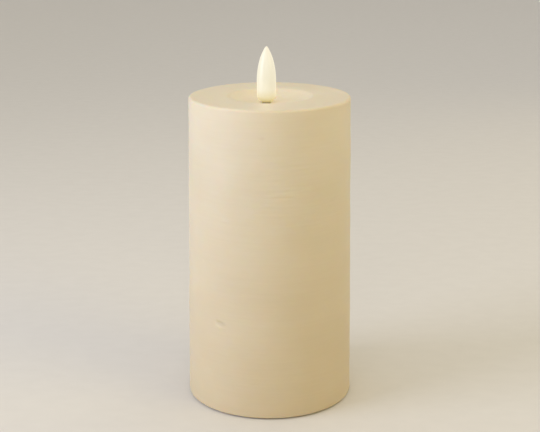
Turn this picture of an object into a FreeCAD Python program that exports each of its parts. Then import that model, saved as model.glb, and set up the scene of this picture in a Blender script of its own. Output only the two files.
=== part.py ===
"""A flameless pillar candle: a cast wax shell over a battery box, with a glowing plastic flame.

The row frame has its origin on the floor under the candle's middle, +Z up and -Y to the front.
The base plate and the pieces on it are drawn from the plate's underside, and the flame's pieces
from the underside of the holder's flange. Lengths are millimetres.
"""

import FreeCAD, Part
import math
import os

import Sketcher

# name, millimetres, what it measures
SIZES = (
    ("foot_height", 0.6, "how far the foot ring stands below the wax and the plate"),
    ("wax_base_radius", 45.6, "outside of the wax at its foot"),
    ("wax_top_radius", 43.4, "outside of the wax at its rim, smaller so that the mould draws"),
    ("wax_height", 167.6, "foot of the wax to its rim"),
    ("wax_wall", 5.5, "wall of the wax round the hollow"),
    ("wax_roof", 12.0, "wax under the lowest point of the dish"),
    ("dish_radius", 22.8, "melt dish in the top, at its edge"),
    ("dish_depth", 3.9, "melt dish in the top, at its middle"),
    ("dish_lip_round", 9.0, "soft edge of the melt dish"),
    ("rim_round", 1.4, "rounding of the wax rim"),
    ("foot_round", 1.2, "rounding of the wax foot"),
    ("seat_wall", 4.0, "wax left outside the seat of the base plate"),
    ("wick_offset", -1.7, "the flame's place along X, off the candle's middle"),
    ("wick_hole_gap", 0.4, "gap round the flame's neck in the dish"),
    ("wick_skin", 3.6, "wax between the dish and the holder's pocket"),
    ("flame_radius", 5.15, "flame at its widest"),
    ("flame_shoulder_radius", 4.35, "flame where the point begins"),
    ("flame_height", 29.4, "flame from its rounded foot to its tip"),
    ("flame_widest", 12.0, "height of the widest place above the flame's foot"),
    ("flame_shoulder", 19.4, "height of the shoulder above the flame's foot"),
    ("flame_foot_round", 3.4, "rounding of the flame's foot"),
    ("flame_side_curve", 45.0, "radius of the flame's side up to its shoulder"),
    ("flame_point_curve", 29.0, "radius of the flame's side above its shoulder"),
    ("flame_tip_radius", 0.45, "blunt end of the flame"),
    ("flame_wall", 1.1, "wall of the hollow flame"),
    ("flame_lift", 0.7, "gap between the flame's foot and the dish"),
    ("neck_radius", 2.2, "neck of the flame"),
    ("neck_bore_radius", 1.7, "bore of the neck, for the lamp's leads"),
    ("neck_engagement", 4.4, "length of neck inside the holder"),
    ("holder_radius", 5.4, "spigot of the flame holder"),
    ("holder_flange_radius", 9.0, "flange of the flame holder"),
    ("holder_flange", 1.6, "thickness of that flange"),
    ("holder_skirt", 8.0, "length of the skirt that takes the stem"),
    ("holder_wall", 1.4, "wall of that skirt"),
    ("grommet_radius", 3.3, "grommet that centres the lamp's leads"),
    ("grommet_length", 3.6, "length of that grommet"),
    ("led_radius", 1.5, "lamp body"),
    ("led_height", 5.2, "lamp body with its dome"),
    ("lead_radius", 0.25, "lead of the lamp"),
    ("lead_gap", 0.16, "gap between the two sleeves on the leads"),
    ("lead_length", 24.0, "length of each lead"),
    ("sleeve_wall", 0.15, "wall of the shrink sleeve on a lead"),
    ("sleeve_length", 8.0, "length of each sleeve, half of it on the lead"),
    ("stem_base_radius", 5.2, "stem at its foot"),
    ("stem_top_radius", 4.4, "stem at its top"),
    ("stem_bore_radius", 3.2, "bore of the stem"),
    ("stem_flange_radius", 10.0, "flange at the stem's foot"),
    ("stem_flange", 2.0, "thickness of that flange"),
    ("stem_screw_reach", 7.6, "stem screws from the stem's middle"),
    ("rib_height", 12.0, "ribs at the stem's foot"),
    ("fit", 0.2, "gap between moulded pieces that are pushed together"),
    ("running_fit", 0.05, "gap round a shaft that turns"),
    ("snug_fit", 0.02, "gap round small pieces that are glued or pressed in"),
    ("wall", 1.2, "wall of the moulded boxes"),
    ("plate_thickness", 2.0, "base plate"),
    ("foot_ring_width", 1.3, "width of the foot ring"),
    ("foot_ring_inset", 0.4, "foot ring from the plate's edge"),
    ("cell_radius", 7.2, "AA cell"),
    ("cell_length", 49.2, "AA cell without its nub"),
    ("cell_nub_radius", 2.7, "nub of the AA cell"),
    ("cell_nub", 1.3, "height of that nub"),
    ("cell_edge", 0.7, "bevel at the ends of a cell"),
    ("cell_gap", 0.4, "gap beside and between the cells"),
    ("bay_middle", 2.0, "middle of the battery bay along Y"),
    ("bay_ledge", 1.0, "ledge that the door closes on"),
    ("spring_height", 4.2, "contact spring with a cell in place"),
    ("spring_wire_radius", 0.35, "wire of the contact springs"),
    ("spring_radius", 4.4, "widest coil of the contact springs"),
    ("contact_thickness", 0.4, "sheet of the contact plates"),
    ("contact_width", 11.0, "width of a contact plate"),
    ("contact_lift", 1.0, "contact plates above the door's ledge"),
    ("contact_cup", 0.5, "bump of a plate that meets a cell's nub"),
    ("tab_width", 3.6, "width of a solder tab"),
    ("tab_height", 3.0, "solder tab above the bay's roof"),
    ("door_thickness", 1.8, "battery door"),
    ("door_gap", 0.2, "gap round the battery door"),
    ("door_rib", 1.6, "rib of the door between the cells"),
    ("grip_pitch", 1.4, "distance between the grip lines on the latch pad"),
    ("grip_width", 0.6, "width of a grip line"),
    ("grip_height", 0.3, "height of a grip line"),
    ("scoop_radius", 6.0, "thumb scoop beside the latch pad"),
    ("scoop_depth", 1.0, "depth of that scoop"),
    ("tongue_half_width", 7.0, "hinge tongue of the door, each way from its middle"),
    ("tongue_reach", 2.7, "hinge pin beyond the door's edge"),
    ("hinge_height", 2.4, "hinge pin above the plate's underside"),
    ("barrel_radius", 1.1, "barrel of the hinge tongue"),
    ("lug_radius", 0.9, "hinge lug"),
    ("lug_length", 1.8, "length of each hinge lug"),
    ("sweep_gap", 0.6, "room that the turning tongue keeps to the plate"),
    ("latch_half_width", 5.5, "latch pad of the door, each way from its middle"),
    ("latch_reach", 3.2, "latch pad beyond the door's edge"),
    ("latch_height", 6.0, "top of the latch hook above the plate's underside"),
    ("latch_bite", 0.4, "hook that stands out from the latch blade"),
    ("hook_height", 1.8, "height of the latch hook"),
    ("blade_thickness", 0.9, "latch blade"),
    ("latch_clearance", 0.15, "room that the rigid hook keeps to its catch"),
    ("boss_gap", 0.6, "gap between a screw boss and the walls beside it"),
    ("screw_boss_radius", 3.8, "boss round a cover screw"),
    ("screw_boss_height", 2.0, "screw boss above the base plate"),
    ("screw_head_radius", 2.8, "head of a cover screw"),
    ("screw_head", 1.6, "height of that head"),
    ("screw_radius", 1.35, "shank of a cover screw"),
    ("screw_length", 10.0, "length of that shank"),
    ("cross_reach", 1.75, "drive cross in a cover screw, from its middle"),
    ("cross_width", 0.7, "width of that cross"),
    ("cross_depth", 1.0, "depth of that cross"),
    ("small_head_radius", 1.9, "head of a small screw"),
    ("small_head", 1.2, "height of that head"),
    ("small_radius", 0.9, "shank of a small screw"),
    ("small_length", 5.0, "length of that shank"),
    ("small_cross_reach", 1.25, "drive cross in a small screw, from its middle"),
    ("small_cross_width", 0.5, "width of that cross"),
    ("small_cross_depth", 0.6, "depth of that cross"),
    ("cover_gap", 0.4, "gap between the box cover's rim and the wax"),
    ("cover_room", 6.2, "room for the wires between the battery bay and the cover's roof"),
    ("cover_roof", 1.5, "roof of the box cover"),
    ("stem_ring_height", 1.2, "ring on the roof that centres the stem's flange"),
    ("board_gap", 1.3, "gap between the battery bay and the circuit board"),
    ("switch_travel", 4.0, "whole travel of the switch, over three places"),
    ("knob_length", 4.0, "finger piece of the switch, along X"),
    ("knob_width", 3.0, "finger piece of the switch, along Y"),
    ("knob_rise", 0.2, "finger piece below the plate's underside"),
    ("knob_cover", 13.4, "length of the slip that covers the slot"),
    ("knob_slip", 0.8, "thickness of that slip"),
    ("slip_gap", 0.1, "gap that the slip slides over"),
    ("switch_recess", 0.9, "depth of the hollow round the finger piece"),
    ("recess_margin", 3.0, "that hollow beyond the slot, along X"),
    ("mark_height", 0.25, "raised position marks"),
    ("mark_size", 1.8, "position marks across"),
    ("actuator_width", 1.8, "square peg of the switch"),
    ("actuator_reach", 3.0, "length of that peg"),
    ("can_length", 11.4, "metal can of the switch"),
    ("can_width", 5.6, "width of that can"),
    ("can_height", 4.0, "height of that can"),
    ("can_sheet", 0.3, "sheet of that can"),
    ("wafer_thickness", 1.0, "wafer that closes the can and holds the pins"),
    ("pin_spacing", 2.5, "distance between the switch pins"),
    ("pin_radius", 0.38, "switch pin"),
    ("pin_rise", 1.0, "switch pin above the circuit board"),
    ("slider_height", 1.2, "slider of the switch inside its can"),
    ("wiper_thickness", 0.25, "sheet of the wiper"),
    ("board_length", 30.0, "circuit board"),
    ("board_width", 14.0, "width of the circuit board"),
    ("board_thickness", 1.2, "thickness of the circuit board"),
    ("board_height", 10.4, "underside of the board above the plate's underside"),
    ("board_screw_place", 12.4, "board screws along X"),
    ("post_radius", 2.4, "post under a board screw"),
    ("chip_length", 4.9, "timer chip along its rows of legs"),
    ("chip_width", 3.9, "timer chip across its rows of legs"),
    ("chip_height", 1.4, "body of the timer chip"),
    ("leg_pitch", 1.27, "distance between the chip's legs"),
    ("leg_width", 0.4, "width of a leg"),
    ("leg_reach", 1.0, "leg beyond the chip's body"),
    ("crystal_radius", 1.0, "can of the crystal"),
    ("crystal_length", 6.0, "length of that can"),
    ("small_part_length", 2.0, "resistor or capacitor"),
    ("small_part_width", 1.25, "width of a resistor or capacitor"),
    ("small_part_pitch", 3.2, "distance between resistors or capacitors"),
    ("resistor_height", 0.5, "height of a resistor"),
    ("capacitor_height", 0.9, "height of a capacitor"),
    ("bead_radius", 2.6, "hot-melt bead"),
    ("bead_height", 2.2, "height of a bead above the cover"),
    ("wire_radius", 0.55, "insulated wire"),
)

ARC_SHARE = 0.45  # of the shorter run, taken by the arc at a wire's corner
SPRING_TURNS = 3
STEPS_IN_A_TURN = 12


class Size:
    """A length as a number and as the expression that finds it on the sheet."""

    def __init__(self, value, text):
        self.value = value
        self.text = text

    def _join(self, sign, other, value):
        return Size(value, f"({self.text} {sign} {as_size(other).text})")

    def __add__(self, other):
        return self._join("+", other, self.value + as_size(other).value)

    def __radd__(self, other):
        return as_size(other) + self

    def __sub__(self, other):
        return self._join("-", other, self.value - as_size(other).value)

    def __rsub__(self, other):
        return as_size(other) - self

    def __mul__(self, other):
        return self._join("*", other, self.value * as_size(other).value)

    def __rmul__(self, other):
        return as_size(other) * self

    def __truediv__(self, other):
        return self._join("/", other, self.value / as_size(other).value)

    def __neg__(self):
        return Size(-self.value, f"(0 - {self.text})")

    def root(self):
        """The square root."""
        return Size(math.sqrt(self.value), f"sqrt({self.text})")


def as_size(number):
    """A plain number as a Size."""
    return number if isinstance(number, Size) else Size(float(number), repr(float(number)))


class Sheet:
    """The spreadsheet of driving sizes. Each alias reads as an attribute, as a Size."""

    def __init__(self, doc):
        self.cells = doc.addObject("Spreadsheet::Sheet", "Sizes")
        for row, (alias, value, note) in enumerate(SIZES, start=1):
            self.cells.set(f"A{row}", alias)
            self.cells.set(f"B{row}", str(value))
            self.cells.set(f"C{row}", note)
            self.cells.setAlias(f"B{row}", alias)
            setattr(self, alias, Size(value, f"Sizes.{alias}"))


DOC = FreeCAD.newDocument("FlamelessCandle")
MM = Sheet(DOC)
DOC.recompute()
PARTS = {}


def bind(thing, prop, size):
    """Sets a property of a document object, and ties it to the sheet."""
    thing.setExpression(prop, as_size(size).text)


def place(name, thing, x=0.0, y=0.0, z=0.0):
    """Names a sub-part, and puts its own origin at a place in the row frame."""
    thing.Label = name
    for axis, size in zip("xyz", (x, y, z)):
        if as_size(size).value:
            bind(thing, f"Placement.Base.{axis}", size)
    PARTS[name] = thing


# ---------------------------------------------------------------- sketches and features

def new_body(name):
    """An empty PartDesign body."""
    return DOC.addObject("PartDesign::Body", f"{name}_body")


def origin_plane(body, role):
    """One of a body's own planes or axes, by its role."""
    return next(f for f in body.Origin.OriginFeatures if f.Role == role)


class Drawing:
    """A sketch on one of a body's planes, every point of which is tied to the sheet."""

    def __init__(self, body, name, plane="XY_Plane", offset=0.0):
        self.sketch = body.newObject("Sketcher::SketchObject", name)
        self.sketch.AttachmentSupport = (origin_plane(body, plane), "")
        self.sketch.MapMode = "FlatFace"
        if as_size(offset).value:
            bind(self.sketch, "AttachmentOffset.Base.z", offset)

    def _tie(self, kind, *where, size):
        index = self.sketch.addConstraint(Sketcher.Constraint(kind, *where, size.value))
        self.sketch.setExpression(f"Constraints[{index}]", size.text)

    def _pin(self, geometry, end, point):
        """Holds one end of an edge at a point, counted from the sketch's origin."""
        for kind, axis, coordinate in zip(("DistanceX", "DistanceY"), (-2, -1), point):
            size = as_size(coordinate)
            if size.value == 0.0:
                self.sketch.addConstraint(Sketcher.Constraint("PointOnObject", geometry, end, axis))
            else:
                self._tie(kind, -1, 1, geometry, end, size=size)

    def outline(self, points, arcs=None):
        """A closed outline through points. arcs gives {edge: (radius, side)}: side 1 has the
        arc's centre on the left of the edge, and -1 on its right."""
        arcs = arcs or {}
        flat = [FreeCAD.Vector(as_size(x).value, as_size(y).value, 0) for x, y in points]
        starts = []
        for edge, start in enumerate(flat):
            end = flat[(edge + 1) % len(flat)]
            if edge not in arcs:
                starts.append((self.sketch.addGeometry(Part.LineSegment(start, end), False), 1, 2))
                continue
            radius, side = as_size(arcs[edge][0]), arcs[edge][1]
            half = (end - start) * 0.5
            reach = math.sqrt(radius.value**2 - half.Length**2)
            middle = start + half
            centre = middle + FreeCAD.Vector(-half.y, half.x, 0).normalize() * reach * side
            first, last = (start, end) if side == 1 else (end, start)
            turn = [math.atan2(p.y - centre.y, p.x - centre.x) for p in (first, last)]
            circle = Part.Circle(centre, FreeCAD.Vector(0, 0, 1), radius.value)
            arc = self.sketch.addGeometry(Part.ArcOfCircle(circle, *turn), False)
            starts.append((arc, 1, 2) if side == 1 else (arc, 2, 1))
            self._tie("Radius", arc, size=radius)
        for here, after in zip(starts, starts[1:] + starts[:1]):
            joint = Sketcher.Constraint("Coincident", here[0], here[2], after[0], after[1])
            self.sketch.addConstraint(joint)
        for (geometry, end, _), point in zip(starts, points):
            self._pin(geometry, end, point)
        return self

    def rectangle(self, x, y, length, width):
        """A rectangle about its middle."""
        sides = [(x + length * a / 2, y + width * b / 2) for a, b in ((-1, -1), (1, -1), (1, 1), (-1, 1))]
        return self.outline(sides)

    def circle(self, x, y, radius):
        """A circle about its middle."""
        centre = FreeCAD.Vector(as_size(x).value, as_size(y).value, 0)
        size = as_size(radius)
        shape = Part.Circle(centre, FreeCAD.Vector(0, 0, 1), size.value)
        geometry = self.sketch.addGeometry(shape, False)
        self._tie("Radius", geometry, size=size)
        self._pin(geometry, 3, (x, y))
        return self


def feature(body, kind, name, drawing, **settings):
    """Adds a PartDesign feature of a drawing. Sizes among the settings are tied to the sheet."""
    made = body.newObject(f"PartDesign::{kind}", name)
    made.Profile = drawing.sketch
    for prop, value in settings.items():
        if isinstance(value, Size):
            bind(made, prop, value)
        else:
            setattr(made, prop, value)
    drawing.sketch.Visibility = False
    return made


def pad(body, name, drawing, length, down=False):
    """Pads a drawing along its normal, or against it."""
    return feature(body, "Pad", name, drawing, Length=as_size(length), Reversed=down)


def pocket(body, name, drawing, length, up=True):
    """Cuts a drawing's shape away along its normal, or against it."""
    return feature(body, "Pocket", name, drawing, Length=as_size(length), Reversed=up)


def revolved(body, name, points, arcs=None):
    """Turns an outline, given as radius and height, about the body's Z axis."""
    drawing = Drawing(body, f"{name}_outline", "XZ_Plane").outline(points, arcs)
    axis = (drawing.sketch, ["V_Axis"])
    return feature(body, "Revolution", name, drawing, ReferenceAxis=axis, Angle=360.0)


def all_round(body, name, originals, times):
    """Repeats features round the body's Z axis."""
    pattern = body.newObject("PartDesign::PolarPattern", name)
    pattern.Originals = originals
    pattern.Axis = (origin_plane(body, "Z_Axis"), [""])
    pattern.Angle = 360.0
    pattern.Occurrences = times
    body.Tip = pattern
    return pattern


def ring_edges(shape, radius, height):
    """The names of a shape's circular edges of a radius at a height."""
    found = []
    for number, edge in enumerate(shape.Edges, start=1):
        curve = None if edge.Degenerated else edge.Curve
        if isinstance(curve, Part.Circle) and abs(curve.Radius - radius.value) < 1e-4:
            if abs(curve.Center.z - height.value) < 1e-4:
                found.append(f"Edge{number}")
    return found


def rounded(body, name, edges_of, radius, height, size):
    """Rounds the circular edges of a feature at a radius and a height."""
    DOC.recompute()
    fillet = body.newObject("PartDesign::Fillet", name)
    fillet.Base = (edges_of, ring_edges(edges_of.Shape, radius, height))
    bind(fillet, "Radius", size)
    return fillet


# ---------------------------------------------------------------- Part primitives

def box(length, width, height, x, y, z):
    """A Part box about its middle in X and Y, standing on z."""
    made = DOC.addObject("Part::Box", "block")
    for prop, size in (("Length", length), ("Width", width), ("Height", height)):
        bind(made, prop, size)
    for axis, size in zip("xyz", (x - as_size(length) / 2, y - as_size(width) / 2, as_size(z))):
        bind(made, f"Placement.Base.{axis}", size)
    return made


def cylinder(radius, height, x, y, z, along="z"):
    """A Part cylinder from a point, along an axis."""
    made = DOC.addObject("Part::Cylinder", "round")
    bind(made, "Radius", radius)
    bind(made, "Height", height)
    turned = {"z": FreeCAD.Rotation(), "x": FreeCAD.Rotation(FreeCAD.Vector(0, 1, 0), 90)}
    turned["y"] = FreeCAD.Rotation(FreeCAD.Vector(1, 0, 0), -90)
    made.Placement = FreeCAD.Placement(FreeCAD.Vector(), turned[along])
    for axis, size in zip("xyz", (x, y, z)):
        bind(made, f"Placement.Base.{axis}", size)
    return made


def cut(base, *tools):
    """A Part cut of tools from a base, one after another."""
    for tool in tools:
        made = DOC.addObject("Part::Cut", "cut")
        made.Base, made.Tool = base, tool
        base = made
    return base


def fused(*shapes):
    """A Part fuse of shapes that meet, as one solid."""
    made = DOC.addObject("Part::MultiFuse", "fused")
    made.Shapes = list(shapes)
    made.Refine = True
    return made


def group(*shapes):
    """Separate solids that share one node."""
    made = DOC.addObject("Part::Compound", "group")
    made.Links = list(shapes)
    return made


def plain_feature(name, shape, x=0.0, y=0.0, z=0.0):
    """A sub-part whose shape is set by Part's own functions."""
    made = DOC.addObject("Part::Feature", name)
    made.Shape = shape
    place(name, made, x, y, z)


# ---------------------------------------------------------------- shared places

SEAT_RADIUS = MM.wax_base_radius - MM.seat_wall
PLATE_RADIUS = SEAT_RADIUS - MM.fit
BORE_BASE_RADIUS = MM.wax_base_radius - MM.wax_wall
BORE_TOP_RADIUS = MM.wax_top_radius - MM.wax_wall
DISH_FLOOR = MM.wax_height - MM.dish_depth
HOLLOW_ROOF = DISH_FLOOR - MM.wax_roof
POCKET_RADIUS = MM.holder_radius + MM.fit
DISH_CURVE = (MM.dish_radius * MM.dish_radius + MM.dish_depth * MM.dish_depth) / (MM.dish_depth * 2)
POCKET_DEPTH = MM.wax_roof - MM.wick_skin
HOLDER_Z = MM.foot_height + HOLLOW_ROOF - MM.holder_flange
FLAME_FOOT = MM.foot_height + DISH_FLOOR + MM.flame_lift - HOLDER_Z
SPIGOT_TOP = MM.holder_flange + POCKET_DEPTH - MM.fit
SLEEVE_BORE = MM.wire_radius + MM.snug_fit
LEAD_HALF = SLEEVE_BORE + MM.sleeve_wall + MM.lead_gap / 2

CELL_WHOLE = MM.cell_length + MM.cell_nub
BAY_LENGTH = CELL_WHOLE + MM.spring_height + MM.contact_thickness * 2 + MM.contact_cup + MM.fit
BAY_WIDTH = MM.cell_radius * 4 + MM.cell_gap * 3
BAY_HALF = BAY_LENGTH / 2
LEDGE_Z = MM.door_thickness + MM.door_gap / 2
CELL_Z = LEDGE_Z + MM.cell_gap + MM.cell_radius
BAY_ROOF = CELL_Z + MM.cell_radius + MM.cell_gap
BLOCK_TOP = BAY_ROOF + MM.wall
CELL_Y = MM.cell_radius + MM.cell_gap / 2
BLOCK_HALF = BAY_HALF + MM.bay_ledge + MM.wall

DOOR_HALF = BAY_HALF + MM.bay_ledge - MM.door_gap
DOOR_WIDTH = BAY_WIDTH + (MM.bay_ledge - MM.door_gap) * 2
HINGE_X = -(DOOR_HALF + MM.tongue_reach)
HINGE_SWEEP = MM.hinge_height + MM.sweep_gap
LATCH_TIP = DOOR_HALF + MM.latch_reach
BLADE_OUT = LATCH_TIP - MM.door_gap - MM.latch_bite
HOOK_LOW = MM.latch_height - MM.hook_height

COVER_HEIGHT = BLOCK_TOP + MM.cover_room + MM.cover_roof - MM.plate_thickness
COVER_TOP = MM.plate_thickness + COVER_HEIGHT
BORE_DRAFT = (BORE_BASE_RADIUS - BORE_TOP_RADIUS) / (HOLLOW_ROOF - MM.plate_thickness)
BORE_AT_COVER = BORE_BASE_RADIUS - BORE_DRAFT * COVER_HEIGHT
COVER_RADIUS = BORE_AT_COVER - MM.cover_gap
BAY_EDGE = BAY_WIDTH / 2 + MM.bay_ledge + MM.wall
SCREW_Y = MM.bay_middle + BAY_EDGE + MM.boss_gap + MM.screw_boss_radius
SCREW_RING = COVER_RADIUS - MM.wall - MM.boss_gap - MM.screw_boss_radius
SCREW_X = (SCREW_RING * SCREW_RING - SCREW_Y * SCREW_Y).root()
SCREW_CORNERS = ((1, 1), (-1, 1), (-1, -1), (1, -1))
SWITCH_Y = MM.bay_middle - BAY_EDGE - MM.board_gap - MM.board_width / 2
STEM_Z = MM.foot_height + COVER_TOP
STEM_LENGTH = HOLDER_Z - STEM_Z - MM.fit
BOARD_TOP = MM.board_height + MM.board_thickness
CAN_Z = MM.board_height - MM.can_height
REST_X = -(MM.switch_travel / 2)


# ---------------------------------------------------------------- the wax and the flame

def wax_shell():
    """The cast wax: a drafted pillar with a melt dish, hollow from below, with a seat for the
    base plate, and a pocket and a hole for the flame off its middle."""
    body = new_body("wax_shell")
    turned = revolved(body, "pillar", (
        (SEAT_RADIUS, 0),
        (MM.wax_base_radius, 0),
        (MM.wax_top_radius, MM.wax_height),
        (MM.dish_radius, MM.wax_height),
        (0, DISH_FLOOR),
        (0, HOLLOW_ROOF),
        (BORE_TOP_RADIUS, HOLLOW_ROOF),
        (BORE_BASE_RADIUS, MM.plate_thickness),
        (SEAT_RADIUS, MM.plate_thickness),
    ), {3: (DISH_CURVE, -1)})
    foot = rounded(body, "foot_round", turned, MM.wax_base_radius, as_size(0), MM.foot_round)
    rim = rounded(body, "rim_round", foot, MM.wax_top_radius, MM.wax_height, MM.rim_round)
    rounded(body, "dish_lip", rim, MM.dish_radius, MM.wax_height, MM.dish_lip_round)
    hole = Drawing(body, "wick_hole_circle", offset=HOLLOW_ROOF)
    hole.circle(MM.wick_offset, 0, MM.neck_radius + MM.wick_hole_gap)
    pocket(body, "wick_hole", hole, MM.wax_roof + MM.dish_depth)
    seat = Drawing(body, "holder_pocket_circle", offset=HOLLOW_ROOF)
    seat.circle(MM.wick_offset, 0, POCKET_RADIUS)
    pocket(body, "holder_pocket", seat, POCKET_DEPTH)
    place("wax_shell", body, z=MM.foot_height)


def flame_outline(inset, neck, low, tip):
    """Half of the flame's outline, an inset in from its outside, over a neck of a radius."""
    foot = FLAME_FOOT + inset
    return (
        (0, low),
        (neck, low),
        (neck, foot),
        (MM.flame_radius - MM.flame_foot_round, foot),
        (MM.flame_radius - inset, FLAME_FOOT + MM.flame_foot_round),
        (MM.flame_radius - inset, FLAME_FOOT + MM.flame_widest),
        (MM.flame_shoulder_radius - inset, FLAME_FOOT + MM.flame_shoulder),
        (tip, FLAME_FOOT + MM.flame_height - inset * 2),
        (0, FLAME_FOOT + MM.flame_height - inset * 2),
    )


def flame_tip():
    """The hollow translucent flame on its neck."""
    point = {5: (MM.flame_side_curve, 1), 6: (MM.flame_point_curve, 1)}
    body = new_body("flame_tip")
    low = SPIGOT_TOP - MM.neck_engagement
    outside = flame_outline(0, MM.neck_radius, low, MM.flame_tip_radius)
    revolved(body, "flame", outside, {3: (MM.flame_foot_round, 1), **point})
    inside = flame_outline(MM.flame_wall, MM.neck_bore_radius, low, MM.flame_tip_radius)
    hollow = Drawing(body, "hollow_outline", "XZ_Plane")
    hollow.outline(inside, {3: (MM.flame_foot_round - MM.flame_wall, 1), **point})
    axis = (hollow.sketch, ["V_Axis"])
    feature(body, "Groove", "hollow", hollow, ReferenceAxis=axis, Angle=360.0)
    place("flame_tip", body, MM.wick_offset, 0, HOLDER_Z)


def flame_holder():
    """The flanged bush under the wax roof: it grips the neck above and the stem below."""
    body = new_body("flame_holder")
    skirt_bore = MM.stem_top_radius + MM.fit
    revolved(body, "bush", (
        (MM.neck_radius + MM.running_fit, SPIGOT_TOP),
        (MM.neck_radius + MM.running_fit, SPIGOT_TOP - MM.neck_engagement),
        (MM.grommet_radius, SPIGOT_TOP - MM.neck_engagement),
        (MM.grommet_radius, 0),
        (skirt_bore, 0),
        (skirt_bore, -MM.holder_skirt),
        (skirt_bore + MM.holder_wall, -MM.holder_skirt),
        (skirt_bore + MM.holder_wall, 0),
        (MM.holder_flange_radius, 0),
        (MM.holder_flange_radius, MM.holder_flange),
        (MM.holder_radius, MM.holder_flange),
        (MM.holder_radius, SPIGOT_TOP),
    ))
    place("flame_holder", body, MM.wick_offset, 0, HOLDER_Z)


def lamp():
    """The lamp in the flame's foot, with its leads, their sleeves and the grommet."""
    foot = FLAME_FOOT + MM.flame_wall
    straight = MM.led_height - MM.led_radius
    barrel = cylinder(MM.led_radius, straight, 0, 0, foot)
    dome = DOC.addObject("Part::Sphere", "dome")
    bind(dome, "Radius", MM.led_radius)
    bind(dome, "Placement.Base.z", foot + straight)
    place("led_lens", fused(barrel, dome), MM.wick_offset, 0, HOLDER_Z)

    half = LEAD_HALF
    sides = (-1, 1)
    low = foot - MM.lead_length
    leads = [cylinder(MM.lead_radius, MM.lead_length, half * s, 0, low) for s in sides]
    place("led_leads", group(*leads), MM.wick_offset, 0, HOLDER_Z)

    sleeves = []
    sleeve_low = low - MM.sleeve_length / 2
    for s in sides:
        outside = cylinder(SLEEVE_BORE + MM.sleeve_wall, MM.sleeve_length, half * s, 0, sleeve_low)
        bore = cylinder(SLEEVE_BORE, MM.sleeve_length, half * s, 0, sleeve_low)
        sleeves.append(cut(outside, bore))
    place("lead_sleeves", group(*sleeves), MM.wick_offset, 0, HOLDER_Z)

    grommet = cylinder(MM.grommet_radius - MM.snug_fit, MM.grommet_length, 0, 0, 0)
    bore = MM.lead_radius + MM.running_fit
    holes = [cylinder(bore, MM.grommet_length, half * s, 0, 0) for s in sides]
    place("led_grommet", cut(grommet, *holes), MM.wick_offset, 0, HOLDER_Z)


def stem():
    """The column that carries the flame holder, and the two screws through its flange."""
    body = new_body("stem_tube")
    revolved(body, "column", (
        (MM.stem_bore_radius, 0),
        (MM.stem_flange_radius, 0),
        (MM.stem_flange_radius, MM.stem_flange),
        (MM.stem_base_radius, MM.stem_flange),
        (MM.stem_top_radius, STEM_LENGTH),
        (MM.stem_bore_radius, STEM_LENGTH),
    ))
    rib = Drawing(body, "rib_outline", "YZ_Plane", -(MM.wall / 2))
    inner, outer = MM.stem_bore_radius + MM.wall / 2, MM.stem_flange_radius - MM.wall
    top = MM.stem_flange + MM.rib_height
    rib.outline(((inner, MM.stem_flange), (outer, MM.stem_flange), (inner, top)))
    first = pad(body, "rib", rib, MM.wall)
    all_round(body, "ribs", [first], 2)
    holes = Drawing(body, "screw_circles")
    for side in (-1, 1):
        holes.circle(MM.stem_screw_reach * side, 0, MM.small_radius + MM.fit)
    pocket(body, "screw_holes", holes, MM.stem_flange)
    place("stem_tube", body, MM.wick_offset, 0, STEM_Z)

    screws = [small_screw(MM.stem_screw_reach * side, 0, MM.stem_flange) for side in (-1, 1)]
    place("stem_screws", group(*screws), MM.wick_offset, 0, STEM_Z)


def small_screw(x, y, z):
    """A small pan-head screw, driven down with its head's underside at z."""
    head = cylinder(MM.small_head_radius, MM.small_head, x, y, z)
    length, width, depth = MM.small_cross_reach * 2, MM.small_cross_width, MM.small_cross_depth
    low = z + MM.small_head - depth
    arms = [box(length, width, depth, x, y, low), box(width, length, depth, x, y, low)]
    shank = cylinder(MM.small_radius, MM.small_length, x, y, z - MM.small_length)
    return fused(cut(head, *arms), shank)


# ---------------------------------------------------------------- the battery box

def at_screws(drawing, radius):
    """Draws a circle at each of the four cover screws."""
    for across, along in SCREW_CORNERS:
        drawing.circle(SCREW_X * across, SCREW_Y * along, radius)
    return drawing


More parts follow.
